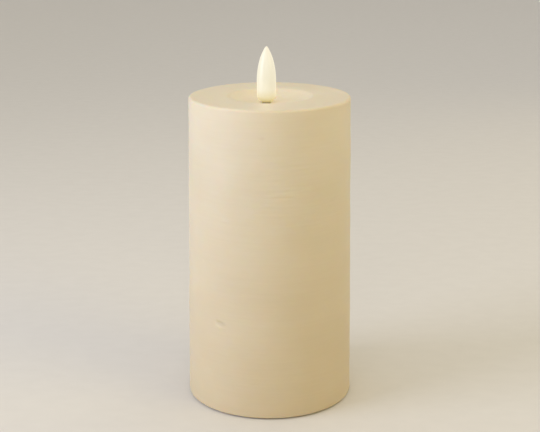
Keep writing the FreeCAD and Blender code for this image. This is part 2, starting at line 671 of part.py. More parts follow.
def base_plate():
    """The round plate with the battery bay, the hinge and latch pockets, the screw bosses, the
    board posts, and the hollow and slot of the switch."""
    body = new_body("base_plate")
    pad(body, "disc", Drawing(body, "disc_circle").circle(0, 0, PLATE_RADIUS), MM.plate_thickness)
    ring = Drawing(body, "foot_ring_circles")
    ring.circle(0, 0, PLATE_RADIUS - MM.foot_ring_inset)
    ring.circle(0, 0, PLATE_RADIUS - MM.foot_ring_inset - MM.foot_ring_width)
    pad(body, "foot_ring", ring, MM.foot_height, down=True)

    on_plate = MM.plate_thickness
    block = Drawing(body, "bay_block_outline", offset=on_plate)
    block.rectangle(0, MM.bay_middle, BLOCK_HALF * 2, BAY_EDGE * 2)
    pad(body, "bay_block", block, BLOCK_TOP - on_plate)

    hinge_out = -HINGE_X + HINGE_SWEEP + MM.wall
    hinge_width = (MM.tongue_half_width + MM.fit + MM.lug_length + MM.fit) * 2
    hinge_top = MM.hinge_height + MM.barrel_radius + MM.sweep_gap
    block = Drawing(body, "hinge_block_outline", offset=on_plate)
    middle = -((hinge_out + BAY_HALF) / 2)
    block.rectangle(middle, MM.bay_middle, hinge_out - BAY_HALF, hinge_width)
    pad(body, "hinge_block", block, hinge_top + MM.wall - on_plate)

    latch_out = LATCH_TIP + MM.door_gap + MM.wall
    latch_width = (MM.latch_half_width + MM.door_gap + MM.wall) * 2
    block = Drawing(body, "latch_block_outline", offset=on_plate)
    middle = (latch_out + BAY_HALF) / 2
    block.rectangle(middle, MM.bay_middle, latch_out - BAY_HALF, latch_width)
    pad(body, "latch_block", block, MM.latch_height + MM.wall - on_plate + MM.fit)

    bosses = at_screws(Drawing(body, "screw_boss_circles", offset=on_plate), MM.screw_boss_radius)
    pad(body, "screw_bosses", bosses, MM.screw_boss_height)

    posts = Drawing(body, "board_post_circles", offset=on_plate)
    for side in (-1, 1):
        posts.circle(MM.board_screw_place * side, SWITCH_Y, MM.post_radius)
    pad(body, "board_posts", posts, MM.board_height - on_plate)

    bay = Drawing(body, "bay_outline").rectangle(0, MM.bay_middle, BAY_LENGTH, BAY_WIDTH)
    pocket(body, "bay", bay, BAY_ROOF)
    seat = Drawing(body, "door_seat_outline")
    length = (DOOR_HALF + MM.door_gap) * 2
    seat.rectangle(0, MM.bay_middle, length, DOOR_WIDTH + MM.door_gap * 2)
    pocket(body, "door_seat", seat, LEDGE_Z)

    tongue_end = -HINGE_X + HINGE_SWEEP
    tongue_width = (MM.tongue_half_width + MM.fit) * 2
    slot = Drawing(body, "tongue_slot_outline")
    slot.rectangle(-((tongue_end + BAY_HALF) / 2), MM.bay_middle, tongue_end - BAY_HALF, tongue_width)
    pocket(body, "tongue_slot", slot, LEDGE_Z)
    hollow = Drawing(body, "hinge_pocket_outline")
    inner = -HINGE_X - MM.barrel_radius - MM.fit
    hollow.rectangle(-((tongue_end + inner) / 2), MM.bay_middle, tongue_end - inner, tongue_width)
    pocket(body, "hinge_pocket", hollow, hinge_top)
    socket = Drawing(body, "lug_socket_circle", "XZ_Plane", -(MM.bay_middle + hinge_width / 2))
    socket.circle(HINGE_X, MM.hinge_height, MM.lug_radius + MM.running_fit)
    pocket(body, "lug_sockets", socket, hinge_width)

    latch_slot = (MM.latch_half_width + MM.door_gap) * 2
    blade_room = BLADE_OUT - MM.blade_thickness - MM.fit
    for name, inside, outside, low, high in (
        ("pad_slot", BAY_HALF, LATCH_TIP + MM.door_gap, 0, LEDGE_Z),
        ("blade_slot", blade_room, BLADE_OUT + MM.latch_bite + MM.latch_clearance, 0, HOOK_LOW),
        ("hook_room", blade_room, LATCH_TIP + MM.door_gap, HOOK_LOW - MM.fit, MM.latch_height + MM.fit),
    ):
        slot = Drawing(body, f"{name}_outline", offset=low)
        slot.rectangle((inside + outside) / 2, MM.bay_middle, outside - inside, latch_slot)
        pocket(body, name, slot, high - low)

    recess = Drawing(body, "switch_recess_outline")
    slot_length = MM.knob_length + MM.switch_travel + MM.fit * 2
    margin = MM.recess_margin * 2
    recess.rectangle(0, SWITCH_Y, slot_length + margin, MM.knob_width + margin)
    pocket(body, "switch_recess", recess, MM.switch_recess)
    slot = Drawing(body, "switch_slot_outline")
    slot.rectangle(0, SWITCH_Y, slot_length, MM.knob_width + MM.fit * 2)
    pocket(body, "switch_slot", slot, MM.plate_thickness)

    holes = at_screws(Drawing(body, "screw_hole_circles"), MM.screw_radius + MM.fit)
    pocket(body, "screw_holes", holes, MM.plate_thickness + MM.screw_boss_height)
    holes = at_screws(Drawing(body, "head_hole_circles"), MM.screw_head_radius + MM.fit)
    pocket(body, "head_holes", holes, MM.plate_thickness + MM.fit)

    pilots = Drawing(body, "post_pilot_circles", offset=MM.board_height)
    for side in (-1, 1):
        pilots.circle(MM.board_screw_place * side, SWITCH_Y, MM.small_radius + MM.running_fit)
    pocket(body, "post_pilots", pilots, MM.small_length, up=False)

    tabs = Drawing(body, "tab_slot_outlines", offset=BAY_ROOF)
    for side in (-1, 1):
        tabs.rectangle(
            BAY_HALF - MM.contact_thickness / 2,
            MM.bay_middle + CELL_Y * side,
            MM.contact_thickness + MM.fit * 2,
            MM.tab_width + MM.fit * 2,
        )
    pocket(body, "tab_slots", tabs, MM.wall)

    scoop = Drawing(body, "thumb_scoop_circle", "XZ_Plane", -(MM.bay_middle + MM.latch_half_width))
    scoop.circle(LATCH_TIP + MM.scoop_radius / 2, MM.scoop_depth - MM.scoop_radius, MM.scoop_radius)
    pocket(body, "thumb_scoop", scoop, MM.latch_half_width * 2)

    marks = Drawing(body, "position_marks")
    mark_y = SWITCH_Y - MM.knob_width / 2 - MM.recess_margin - MM.mark_size
    marks.rectangle(REST_X, mark_y, MM.mark_size / 4, MM.mark_size)
    marks.circle(0, mark_y, MM.mark_size / 2)
    marks.circle(0, mark_y, MM.mark_size / 4)
    marks.circle(-REST_X, mark_y, MM.mark_size / 4)
    pad(body, "marks", marks, MM.mark_height, down=True)
    place("base_plate", body, z=MM.foot_height)


def battery_door():
    """The door: a plate with a hinge tongue and two lugs at one end, and a pad with a hook at
    the other, stiffened by ribs between and beside the cells."""
    body = new_body("battery_door")
    panel = Drawing(body, "panel_outline", "XZ_Plane", -(DOOR_WIDTH / 2))
    bevel = MM.door_thickness * MM.hinge_height / MM.tongue_reach
    panel.outline((
        (-DOOR_HALF, 0),
        (DOOR_HALF, 0),
        (DOOR_HALF, MM.door_thickness),
        (bevel - DOOR_HALF, MM.door_thickness),
    ))
    pad(body, "panel", panel, DOOR_WIDTH)
    tongue = Drawing(body, "tongue_outline")
    reach = MM.tongue_reach + bevel * 2
    tongue.rectangle(HINGE_X + reach / 2, 0, reach, MM.tongue_half_width * 2)
    pad(body, "tongue", tongue, MM.door_thickness)
    barrel = Drawing(body, "barrel_circle", "XZ_Plane", -MM.tongue_half_width)
    barrel.circle(HINGE_X, MM.hinge_height, MM.barrel_radius)
    pad(body, "barrel", barrel, MM.tongue_half_width * 2)
    lugs = Drawing(body, "lug_circle", "XZ_Plane", -(MM.tongue_half_width + MM.lug_length))
    lugs.circle(HINGE_X, MM.hinge_height, MM.lug_radius)
    pad(body, "lugs", lugs, (MM.tongue_half_width + MM.lug_length) * 2)

    thumb = Drawing(body, "latch_pad_outline")
    reach = MM.latch_reach * 2
    thumb.rectangle(LATCH_TIP - reach / 2, 0, reach, MM.latch_half_width * 2)
    pad(body, "latch_pad", thumb, MM.door_thickness)
    blade = Drawing(body, "blade_outline", offset=MM.door_thickness)
    blade.rectangle(BLADE_OUT - MM.blade_thickness / 2, 0, MM.blade_thickness, MM.latch_half_width * 1.6)
    pad(body, "blade", blade, MM.latch_height - MM.door_thickness)
    hook = Drawing(body, "hook_outline", "XZ_Plane", -(MM.latch_half_width * 0.8))
    root = BLADE_OUT - MM.fit
    hook.outline((
        (root, HOOK_LOW),
        (BLADE_OUT + MM.latch_bite, HOOK_LOW),
        (BLADE_OUT + MM.latch_bite, HOOK_LOW + MM.latch_bite),
        (root, MM.latch_height - MM.fit),
    ))
    pad(body, "hook", hook, MM.latch_half_width * 1.6)

    rib = Drawing(body, "rib_outline", offset=MM.door_thickness)
    rib.rectangle(0, 0, BAY_LENGTH - MM.spring_height * 4, MM.wall)
    pad(body, "middle_rib", rib, MM.door_rib)
    grips = Drawing(body, "grip_outlines")
    for number in range(4):
        x = LATCH_TIP - MM.grip_pitch * (number + 0.75)
        grips.rectangle(x, 0, MM.grip_width, MM.latch_half_width * 1.5)
    pad(body, "grips", grips, MM.grip_height, down=True)
    place("battery_door", body, 0, MM.bay_middle, MM.foot_height)


def box_cover():
    """The round cover over the bay and the board, with the bosses that take the cover screws."""
    body = new_body("box_cover")
    inside = COVER_RADIUS - MM.wall
    roof = COVER_HEIGHT - MM.cover_roof
    revolved(body, "drum", (
        (inside, 0),
        (COVER_RADIUS, 0),
        (COVER_RADIUS, COVER_HEIGHT),
        (0, COVER_HEIGHT),
        (0, roof),
        (inside, roof),
    ))
    foot = MM.screw_boss_height
    bosses = at_screws(Drawing(body, "boss_circles", offset=foot), MM.screw_boss_radius)
    pad(body, "bosses", bosses, roof - foot + MM.cover_roof / 2)
    pilots = at_screws(Drawing(body, "pilot_circles", offset=foot), MM.screw_radius + MM.running_fit)
    pocket(body, "pilots", pilots, MM.screw_length)
    ring = Drawing(body, "stem_ring_circles", offset=COVER_HEIGHT - MM.cover_roof / 2)
    ring.circle(MM.wick_offset, 0, MM.stem_flange_radius + MM.fit + MM.wall)
    ring.circle(MM.wick_offset, 0, MM.stem_flange_radius + MM.fit)
    pad(body, "stem_ring", ring, MM.cover_roof / 2 + MM.stem_ring_height)
    nuts = Drawing(body, "stem_boss_circles", offset=roof - MM.small_length)
    holes = Drawing(body, "stem_hole_circles", offset=roof - MM.small_length)
    for side in (-1, 1):
        x = MM.wick_offset + MM.stem_screw_reach * side
        nuts.circle(x, 0, MM.small_radius + MM.wall)
        holes.circle(x, 0, MM.small_radius + MM.running_fit)
    pad(body, "stem_bosses", nuts, MM.small_length + MM.cover_roof / 2)
    pocket(body, "stem_pilots", holes, MM.small_length + MM.cover_roof)
    wires = Drawing(body, "wire_hole_circle", offset=roof)
    wires.circle(MM.wick_offset, 0, MM.stem_bore_radius)
    pocket(body, "wire_hole", wires, MM.cover_roof)
    place("box_cover", body, z=MM.foot_height + MM.plate_thickness)


def cover_screws():
    """The four pan-head screws that hold the cover on the base plate, driven from below."""
    body = new_body("cover_screws")
    bearing = MM.plate_thickness + MM.fit
    head = Drawing(body, "head_circle", offset=bearing - MM.screw_head)
    head.circle(0, 0, MM.screw_head_radius)
    pad(body, "head", head, MM.screw_head)
    shank = Drawing(body, "shank_circle", offset=bearing)
    shank.circle(0, 0, MM.screw_radius)
    pad(body, "shank", shank, MM.screw_length)
    cross = Drawing(body, "cross_outline", offset=bearing - MM.screw_head)
    arm, half = MM.cross_reach, MM.cross_width / 2
    cross.outline((
        (half, half), (arm, half), (arm, -half), (half, -half), (half, -arm), (-half, -arm),
        (-half, -half), (-arm, -half), (-arm, half), (-half, half), (-half, arm), (half, arm),
    ))
    pocket(body, "cross", cross, MM.cross_depth)
    copies = []
    for across, along in SCREW_CORNERS:
        link = DOC.addObject("App::Link", "cover_screw")
        link.LinkedObject = body
        bind(link, "Placement.Base.x", SCREW_X * across)
        bind(link, "Placement.Base.y", SCREW_Y * along)
        copies.append(link)
    place("cover_screws", group(*copies), z=MM.foot_height)


def cells():
    """Two AA cells, side by side and head to tail."""
    for name, side in (("battery_front", -1), ("battery_rear", 1)):
        body = new_body(name)
        revolved(body, "cell", (
            (0, 0),
            (MM.cell_radius - MM.cell_edge, 0),
            (MM.cell_radius, MM.cell_edge),
            (MM.cell_radius, MM.cell_length - MM.cell_edge),
            (MM.cell_radius - MM.cell_edge, MM.cell_length),
            (MM.cell_nub_radius, MM.cell_length),
            (MM.cell_nub_radius, MM.cell_length + MM.cell_nub),
            (0, MM.cell_length + MM.cell_nub),
        ))
        body.Placement.Rotation = FreeCAD.Rotation(FreeCAD.Vector(0, 1, 0), -90 * side)
        reach = BAY_HALF - MM.contact_thickness - MM.spring_height
        place(name, body, reach * side, MM.bay_middle + CELL_Y * side, MM.foot_height + CELL_Z)


def spring_shape(turned):
    """A conical contact spring along X, with the middle of its wide end's wire at the origin.
    turned points it along -X."""
    wire = MM.spring_wire_radius.value
    height = MM.spring_height.value - wire * 2
    steps = SPRING_TURNS * STEPS_IN_A_TURN
    heading = -1 if turned else 1
    points = []
    for step in range(steps + 1):
        share = step / steps
        reach = MM.spring_radius.value + (MM.cell_nub_radius.value - MM.spring_radius.value) * share
        angle = math.tau * SPRING_TURNS * share
        across, up = reach * math.cos(angle), reach * math.sin(angle)
        points.append(FreeCAD.Vector(height * share * heading, across, up))
    line = Part.BSplineCurve()
    line.interpolate(points)
    start = line.tangent(line.FirstParameter)[0]
    profile = Part.Wire([Part.makeCircle(wire, points[0], start)])
    return Part.Wire([line.toShape()]).makePipeShell([profile], True, False)


def contacts():
    """The two end contacts with their solder tabs, the bridge contact and the springs."""
    low = LEDGE_Z + MM.contact_lift
    height = BAY_ROOF - low
    z = MM.foot_height + low
    end = BAY_HALF - MM.contact_thickness / 2
    for name, side in (("positive_plate", -1), ("negative_plate", 1)):
        sheet = box(MM.contact_thickness, MM.contact_width, height, 0, 0, 0)
        tab = box(MM.contact_thickness, MM.tab_width, MM.wall + MM.tab_height, 0, 0, height)
        pieces = [sheet, tab]
        if name == "positive_plate":
            reach = MM.contact_thickness / 2 + MM.contact_cup
            pieces.append(cylinder(MM.cell_nub_radius, reach, -reach, 0, CELL_Z - low, along="x"))
        place(name, fused(*pieces), end, MM.bay_middle + CELL_Y * side, z)
    bridge = box(MM.contact_thickness, BAY_WIDTH - MM.cell_gap * 2, height, 0, 0, 0)
    reach = MM.contact_thickness / 2 + MM.contact_cup
    cup = cylinder(MM.cell_nub_radius, reach, 0, CELL_Y, CELL_Z - low, along="x")
    place("bridge_plate", fused(bridge, cup), -end, MM.bay_middle, z)
    spring_z = MM.foot_height + CELL_Z
    inner = BAY_HALF - MM.contact_thickness - MM.spring_wire_radius
    plain_feature("negative_spring", spring_shape(True), inner, MM.bay_middle + CELL_Y, spring_z)
    plain_feature("bridge_spring", spring_shape(False), -inner, MM.bay_middle - CELL_Y, spring_z)


# ---------------------------------------------------------------- the switch and the board

def switch():
    """The slide switch under the board, and the knob that moves its peg."""
    z = MM.foot_height + CAN_Z
    sheet = MM.can_sheet
    can = box(MM.can_length, MM.can_width, MM.can_height, 0, 0, 0)
    room = box(MM.can_length - sheet * 2, MM.can_width - sheet * 2, MM.can_height, 0, 0, sheet)
    slot_length = MM.switch_travel + MM.actuator_width + MM.fit * 2
    slot = box(slot_length, MM.actuator_width + MM.fit * 2, sheet, 0, 0, 0)
    place("switch_frame", cut(can, room, slot), 0, SWITCH_Y, z)

    inside = MM.can_length - sheet * 2 - MM.fit
    across = MM.can_width - sheet * 2 - MM.fit
    wafer_z = MM.can_height - MM.wafer_thickness
    wafer = box(inside, across, MM.wafer_thickness, 0, 0, wafer_z)
    pins = []
    for x in pin_places():
        hole = cylinder(MM.pin_radius + MM.snug_fit, MM.wafer_thickness, x, 0, wafer_z)
        wafer = cut(wafer, hole)
        length = MM.wafer_thickness + MM.board_thickness + MM.pin_rise
        pins.append(cylinder(MM.pin_radius, length, x, 0, wafer_z))
    place("switch_base", wafer, 0, SWITCH_Y, z)
    place("switch_pins", group(*pins), 0, SWITCH_Y, z)

    slider_z = sheet + MM.running_fit
    slider_length = inside - MM.switch_travel - MM.fit * 2
    slider = box(slider_length, across - MM.fit, MM.slider_height, 0, 0, slider_z)
    peg_length = MM.actuator_reach + slider_z + MM.slider_height / 2
    peg = box(MM.actuator_width, MM.actuator_width, peg_length, 0, 0, -MM.actuator_reach)
    place("switch_actuator", fused(slider, peg), REST_X, SWITCH_Y, z)
    wiper_z = slider_z + MM.slider_height
    wiper = box(slider_length - MM.wall, MM.actuator_width, MM.wiper_thickness, 0, 0, wiper_z)
    foot = box(MM.wiper_thickness * 3, MM.wiper_thickness * 4, MM.wiper_thickness * 3, 0, 0, wiper_z)
    place("switch_wiper", fused(wiper, foot), REST_X, SWITCH_Y, z)

    thick = MM.plate_thickness
    finger = box(MM.knob_length, MM.knob_width, thick + MM.slip_gap * 2 + MM.knob_rise, 0, 0, -MM.knob_rise)
    above = thick + MM.slip_gap
    slip = box(MM.knob_cover, MM.can_width, MM.knob_slip, 0, 0, above)
    socket_width = MM.actuator_width + MM.wall * 2
    socket = box(socket_width, socket_width, CAN_Z - above - MM.fit * 2, 0, 0, above)
    peg_gap = MM.actuator_width + MM.running_fit * 2
    peg_low = CAN_Z - MM.actuator_reach - MM.fit
    peg_hole = box(peg_gap, peg_gap, MM.actuator_reach + MM.fit, 0, 0, peg_low)
    grooves = []
    for number in (-1, 0, 1):
        x = MM.knob_length * number / 4
        grooves.append(box(MM.knob_rise * 2, MM.knob_width, MM.knob_rise, x, 0, -MM.knob_rise))
    knob = cut(fused(finger, slip, socket), peg_hole, *grooves)
    place("switch_knob", knob, REST_X, SWITCH_Y, MM.foot_height)


def pin_places():
    """Where the four switch pins stand along X."""
    return [MM.pin_spacing * (number - 1.5) for number in range(4)]


def circuit_board():
    """The board on its two posts, its screws and the parts soldered on top of it."""
    board = box(MM.board_length, MM.board_width, MM.board_thickness, 0, 0, 0)
    sides = (-1, 1)
    for side in sides:
        x = MM.board_screw_place * side
        board = cut(board, cylinder(MM.small_radius + MM.fit, MM.board_thickness, x, 0, 0))
    for x in pin_places():
        board = cut(board, cylinder(MM.pin_radius + MM.snug_fit, MM.board_thickness, x, 0, 0))
    place("circuit_board", board, 0, SWITCH_Y, MM.foot_height + MM.board_height)

    top = MM.foot_height + BOARD_TOP
    screws = [small_screw(MM.board_screw_place * side, 0, 0) for side in sides]
    place("board_screws", group(*screws), 0, SWITCH_Y, top)

    lift = MM.snug_fit * 5
    package = box(MM.chip_length, MM.chip_width, MM.chip_height, 0, 0, lift)
    legs = []
    for side in sides:
        for number in range(4):
            x = MM.leg_pitch * (number - 1.5)
            foot_y = (MM.chip_width + MM.leg_reach) / 2 * side
            riser_y = (MM.chip_width + MM.leg_width) / 2 * side
            legs.append(box(MM.leg_width, MM.leg_reach, MM.leg_width / 2, x, foot_y, 0))
            legs.append(box(MM.leg_width, MM.leg_width, MM.chip_height / 2, x, riser_y, 0))
    place("timer_chip", fused(package, *legs), -3.0, SWITCH_Y + 4.2, top)
    can = cylinder(MM.crystal_radius, MM.crystal_length, 0, 0, MM.crystal_radius, along="x")
    lead_x = MM.crystal_length + MM.leg_width
    leads = []
    for side in sides:
        y = MM.crystal_radius / 2 * side
        leads.append(box(MM.leg_reach, MM.leg_width * 0.75, MM.crystal_radius * 1.1, lead_x, y, 0))
    place("timing_crystal", fused(can, *leads), 1.4, SWITCH_Y + 5.4, top)
    for name, count, height, y in (
        ("chip_resistors", 3, MM.resistor_height, SWITCH_Y - 3.4),
        ("chip_capacitors", 2, MM.capacitor_height, SWITCH_Y - 5.4),
    ):
        row = []
        for number in range(count):
            x = MM.small_part_pitch * number
            row.append(box(MM.small_part_length, MM.small_part_width, height, x, 0, 0))
        place(name, group(*row), -3.0, y, top)


def route(points, radius):
    """A round wire along straight runs that tangent arcs join, as a solid."""
    corners = [FreeCAD.Vector(*[as_size(c).value for c in point]) for point in points]
    edges, here = [], corners[0]
    for before, corner, after in zip(corners, corners[1:], corners[2:]):
        back, ahead = before - corner, after - corner
        turn = math.pi - back.getAngle(ahead)
        set_back = ARC_SHARE * min(back.Length, ahead.Length)
        bend = set_back / math.tan(turn / 2)
        back.normalize()
        ahead.normalize()
        first, last = corner + back * set_back, corner + ahead * set_back
        inward = (back + ahead).normalize()
        centre = corner + inward * math.hypot(set_back, bend)
        middle = centre - inward * bend
        edges += [Part.LineSegment(here, first).toShape(), Part.Arc(first, middle, last).toShape()]
        print(f"  bend radius {bend:.1f}")
        here = last
    edges.append(Part.LineSegment(here, corners[-1]).toShape())
    path = Part.Wire(edges)
    heading = corners[1] - corners[0]
    profile = Part.Wire([Part.makeCircle(as_size(radius).value, corners[0], heading)])
    made = path.makePipeShell([profile], True, False)
    expected = math.pi * as_size(radius).value ** 2 * path.Length
    if abs(made.Volume - expected) > 0.01 * expected:
        raise ValueError(f"a wire's volume is {made.Volume:.1f} and should be {expected:.1f}")
    return made


def wires():
    """The four wires: two from the contacts to the board, and two up the stem to the lamp."""
    top = MM.foot_height + BOARD_TOP
    over = MM.foot_height + BLOCK_TOP + MM.wire_radius
    tab_x = BAY_HALF - MM.contact_thickness - MM.wire_radius - MM.fit
    tab_z = MM.foot_height + BLOCK_TOP + MM.tab_height - 0.8
    plain_feature("wire_positive", route((
        (tab_x, MM.bay_middle - CELL_Y, tab_z),
        (tab_x - 3.7, -5.6, tab_z + 0.2),
        (20.0, -9.0, over + 1.2),
        (17.0, -13.5, over + 1.0),
        (13.5, SWITCH_Y + 6.3, over + 0.3),
        (12.5, SWITCH_Y + 5.1, top + 3.4),
        (12.5, SWITCH_Y + 5.1, top),
    ), MM.wire_radius))
    plain_feature("wire_negative", route((
        (tab_x, MM.bay_middle + CELL_Y, tab_z),
        (tab_x - 4.2, 8.9, tab_z + 0.2),
        (18.5, 3.5, over + 1.2),
        (15.0, -4.0, over + 1.0),
        (12.0, -11.5, over + 0.9),
        (10.0, SWITCH_Y + 6.3, over + 0.3),
        (9.5, SWITCH_Y + 5.1, top + 3.4),
        (9.5, SWITCH_Y + 5.1, top),
    ), MM.wire_radius))
    lamp_z = HOLDER_Z + FLAME_FOOT + MM.flame_wall - MM.lead_length
    for name, side in (("wire_led_red", -1), ("wire_led_black", 1)):
        x = MM.wick_offset + LEAD_HALF * side
        pad_x = side * 1.3 - 9.0
        plain_feature(name, route((
            (pad_x, SWITCH_Y + 4.7, top),
            (pad_x, SWITCH_Y + 4.7, top + 4.0),
            (pad_x + 1.2, SWITCH_Y + 7.5, over + 1.0),
            (x - 1.2, side * 0.4 - 7.0, over + 1.4),
            (x - 0.2, -1.2, over + 4.0),
            (x, 0.1, STEM_Z + 8.0),
            (x + 0.3, 0.5, STEM_Z + 26.0),
            (x - 0.2, -0.4, STEM_Z + 48.0),
            (x + 0.3, 0.4, STEM_Z + 72.0),
            (x, 0.05, lamp_z - 14.0),
            (x, 0, lamp_z),
        ), MM.wire_radius))


def glue():
    """Hot-melt beads in the corner between the box cover and the wax."""
    beads = []
    for number in range(6):
        angle = math.radians(30 + 60 * number)
        x, y = COVER_RADIUS * math.cos(angle), COVER_RADIUS * math.sin(angle)
        bead = cylinder(MM.bead_radius, MM.bead_height, x, y, COVER_TOP)
        inside = cylinder(BORE_AT_COVER - MM.fit, MM.bead_height, 0, 0, COVER_TOP)
        trimmed = DOC.addObject("Part::Common", "bead")
        trimmed.Base, trimmed.Tool = bead, inside
        beads.append(trimmed)
    place("glue_beads", group(*beads), z=MM.foot_height)


# ---------------------------------------------------------------- checks and export

ADDS = ("PartDesign::Pad", "PartDesign::Revolution")
CUTS = ("PartDesign::Pocket", "PartDesign::Groove")


def check():
    """Stops if an object failed, a feature changed nothing, or a sub-part isn't valid solids."""
    for thing in DOC.Objects:
        if {"Invalid", "Error"} & set(thing.State):
            raise ValueError(f"{thing.Name} ({thing.Label}) failed: {thing.State}")
        if thing.TypeId in ADDS + CUTS and thing.BaseFeature is not None:
            grew = thing.Shape.Volume - thing.BaseFeature.Shape.Volume
            if abs(grew) < 1e-3 or (grew > 0) != (thing.TypeId in ADDS):
                raise ValueError(f"{thing.Label} changed the volume by {grew:.4f}")
    for name, thing in PARTS.items():
        shape = thing.Shape
        if shape.isNull() or not shape.isValid() or not shape.Solids:
            raise ValueError(f"{name} isn't a valid solid")


def main():
    """Builds every sub-part and writes its STEP file."""
    for make in (
        wax_shell, flame_tip, flame_holder, lamp, stem, base_plate, battery_door, box_cover,
        cover_screws, cells, contacts, switch, circuit_board, wires, glue,
    ):
        make()
        DOC.recompute()
    check()
    os.makedirs("parts", exist_ok=True)
    for name, thing in PARTS.items():
        thing.Shape.exportStep(f"parts/{name}.step")
        print(f"{name}: {len(thing.Shape.Solids)} solid(s), {thing.Shape.Volume:.1f} mm3")


main()
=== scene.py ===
"""The looks of a flameless pillar candle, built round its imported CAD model.

Each class is one sub-assembly, and each finish is one surface as its maker would name it.
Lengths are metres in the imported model's own frame: the origin on the floor under the candle's
middle, +Z up and -Y to the front.
"""

import logging
import math
from collections.abc import Callable
from dataclasses import dataclass
from enum import Enum
from typing import ClassVar

import bpy
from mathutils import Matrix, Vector


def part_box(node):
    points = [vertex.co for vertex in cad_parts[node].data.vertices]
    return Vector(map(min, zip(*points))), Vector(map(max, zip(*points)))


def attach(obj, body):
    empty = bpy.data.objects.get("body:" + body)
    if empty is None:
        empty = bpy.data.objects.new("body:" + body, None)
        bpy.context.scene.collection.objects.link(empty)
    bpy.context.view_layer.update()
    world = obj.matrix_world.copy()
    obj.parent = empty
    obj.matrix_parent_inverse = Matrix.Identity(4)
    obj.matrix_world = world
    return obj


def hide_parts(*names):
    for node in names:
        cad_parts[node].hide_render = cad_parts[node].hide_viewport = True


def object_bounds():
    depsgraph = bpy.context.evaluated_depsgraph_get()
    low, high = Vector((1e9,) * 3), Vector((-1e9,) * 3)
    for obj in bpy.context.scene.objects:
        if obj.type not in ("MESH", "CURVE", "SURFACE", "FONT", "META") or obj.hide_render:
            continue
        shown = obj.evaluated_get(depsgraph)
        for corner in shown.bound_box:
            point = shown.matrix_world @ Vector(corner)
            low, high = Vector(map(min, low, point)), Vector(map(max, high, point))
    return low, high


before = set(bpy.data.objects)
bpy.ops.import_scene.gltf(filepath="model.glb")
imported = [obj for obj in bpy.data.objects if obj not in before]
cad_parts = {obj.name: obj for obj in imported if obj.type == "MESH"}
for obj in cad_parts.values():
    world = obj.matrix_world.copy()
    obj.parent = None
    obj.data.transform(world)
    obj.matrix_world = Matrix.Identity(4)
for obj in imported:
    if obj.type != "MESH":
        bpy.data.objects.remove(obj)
cad_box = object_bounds()

MM = 0.001
WELD = MM / 200
SHARP_ANGLE = math.radians(35)
log = logging.getLogger("candle")

Colour = tuple[float, float, float]
Place = tuple[float, float, float]
Socket = bpy.types.NodeSocket
Piece = bpy.types.Object


class Body(Enum):
    """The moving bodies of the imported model."""

    CANDLE = "candle"
    DOOR = "battery_door"
    SWITCH = "power_switch"


class Blend(Enum):
    """The ways that two colours are mixed."""

    MIX = "MIX"
    MULTIPLY = "MULTIPLY"


# ---------------------------------------------------------------- modelling


class Outline:
    """Half of a turned section, drawn from point to point as (radius, height)."""

    def __init__(self, radius: float, height: float) -> None:
        """Starts the outline.

        Args:
            radius: distance of the first point from the axis.
            height: height of the first point.
        """
        self.points = [Vector((radius, height))]

    def line(self, radius: float, height: float, step: float) -> "Outline":
        """Runs straight to a point.

        Args:
            radius: distance of the point from the axis.
            height: height of the point.
            step: longest distance between the points on the way.

        Returns:
            The same outline.
        """
        start, end = self.points[-1].copy(), Vector((radius, height))
        count = max(1, math.ceil((end - start).length / step))
        self.points += [start.lerp(end, i / count) for i in range(1, count + 1)]
        return self

    def arc(self, radius: float, height: float, curve: float, step: float) -> "Outline":
        """Runs to a point along an arc.

        Args:
            radius: distance of the point from the axis.
            height: height of the point.
            curve: radius of the arc, above zero where it turns left and below where right.
            step: longest distance between the points on the way.

        Returns:
            The same outline.
        """
        start, end = self.points[-1].copy(), Vector((radius, height))
        chord = end - start
        half = chord.length / 2
        left = Vector((-chord.y, chord.x)).normalized() * math.copysign(1, curve)
        middle = start.lerp(end, 0.5) + left * math.sqrt(max(curve**2 - half**2, 0))
        first = math.atan2(start.y - middle.y, start.x - middle.x)
        swing = 2 * math.asin(min(1, half / abs(curve))) * math.copysign(1, curve)
        count = max(2, math.ceil(abs(curve * swing) / step))
        for i in range(1, count):
            angle = first + swing * i / count
            self.points.append(
                middle + Vector((math.cos(angle), math.sin(angle))) * abs(curve)
            )
        self.points.append(end)
        return self

    def turned(self, columns: int, axis_x: float = 0.0) -> Piece:
        """Spins the outline round an upright axis.

        Args:
            columns: how many faces the piece has round its axis.
            axis_x: where the axis stands along X.

        Returns:
            The new piece, closed, smooth and still without a name.
        """
        bpy.ops.object.select_all(action="DESELECT")
        first = self.points[0]
        start = (axis_x + first.x, 0, first.y)
        bpy.ops.mesh.primitive_plane_add(size=MM, location=(0, 0, 0))
        bpy.ops.object.mode_set(mode="EDIT")
        bpy.ops.mesh.select_mode(type="VERT")
        bpy.ops.mesh.merge(type="CENTER")
        bpy.ops.transform.translate(value=start)
        for here, following in zip(self.points, self.points[1:]):
            step = following - here
            bpy.ops.mesh.extrude_region_move(
                TRANSFORM_OT_translate={"value": (step.x, 0, step.y)}
            )
        bpy.ops.mesh.select_all(action="SELECT")
        bpy.ops.mesh.spin(
            steps=columns, angle=math.tau, center=(axis_x, 0, 0), axis=(0, 0, 1)
        )
        bpy.ops.mesh.select_all(action="SELECT")
        bpy.ops.mesh.remove_doubles(threshold=WELD)
        bpy.ops.mesh.normals_make_consistent(inside=False)
        bpy.ops.object.mode_set(mode="OBJECT")
        bpy.ops.object.shade_smooth_by_angle(angle=SHARP_ANGLE)
        return bpy.context.object


def paint(piece: Piece, name: str, weight: Callable[[Vector], float]) -> None:
    """Paints a vertex group by place.

    Args:
        piece: the piece to paint.
        name: name of the new group.
        weight: gives the weight at a place, from 0 to 1.
    """
    group = piece.vertex_groups.new(name=name)
    for vertex in piece.data.vertices:
        share = weight(vertex.co)
        if share > 0:
            group.add([vertex.index], min(share, 1.0), "REPLACE")


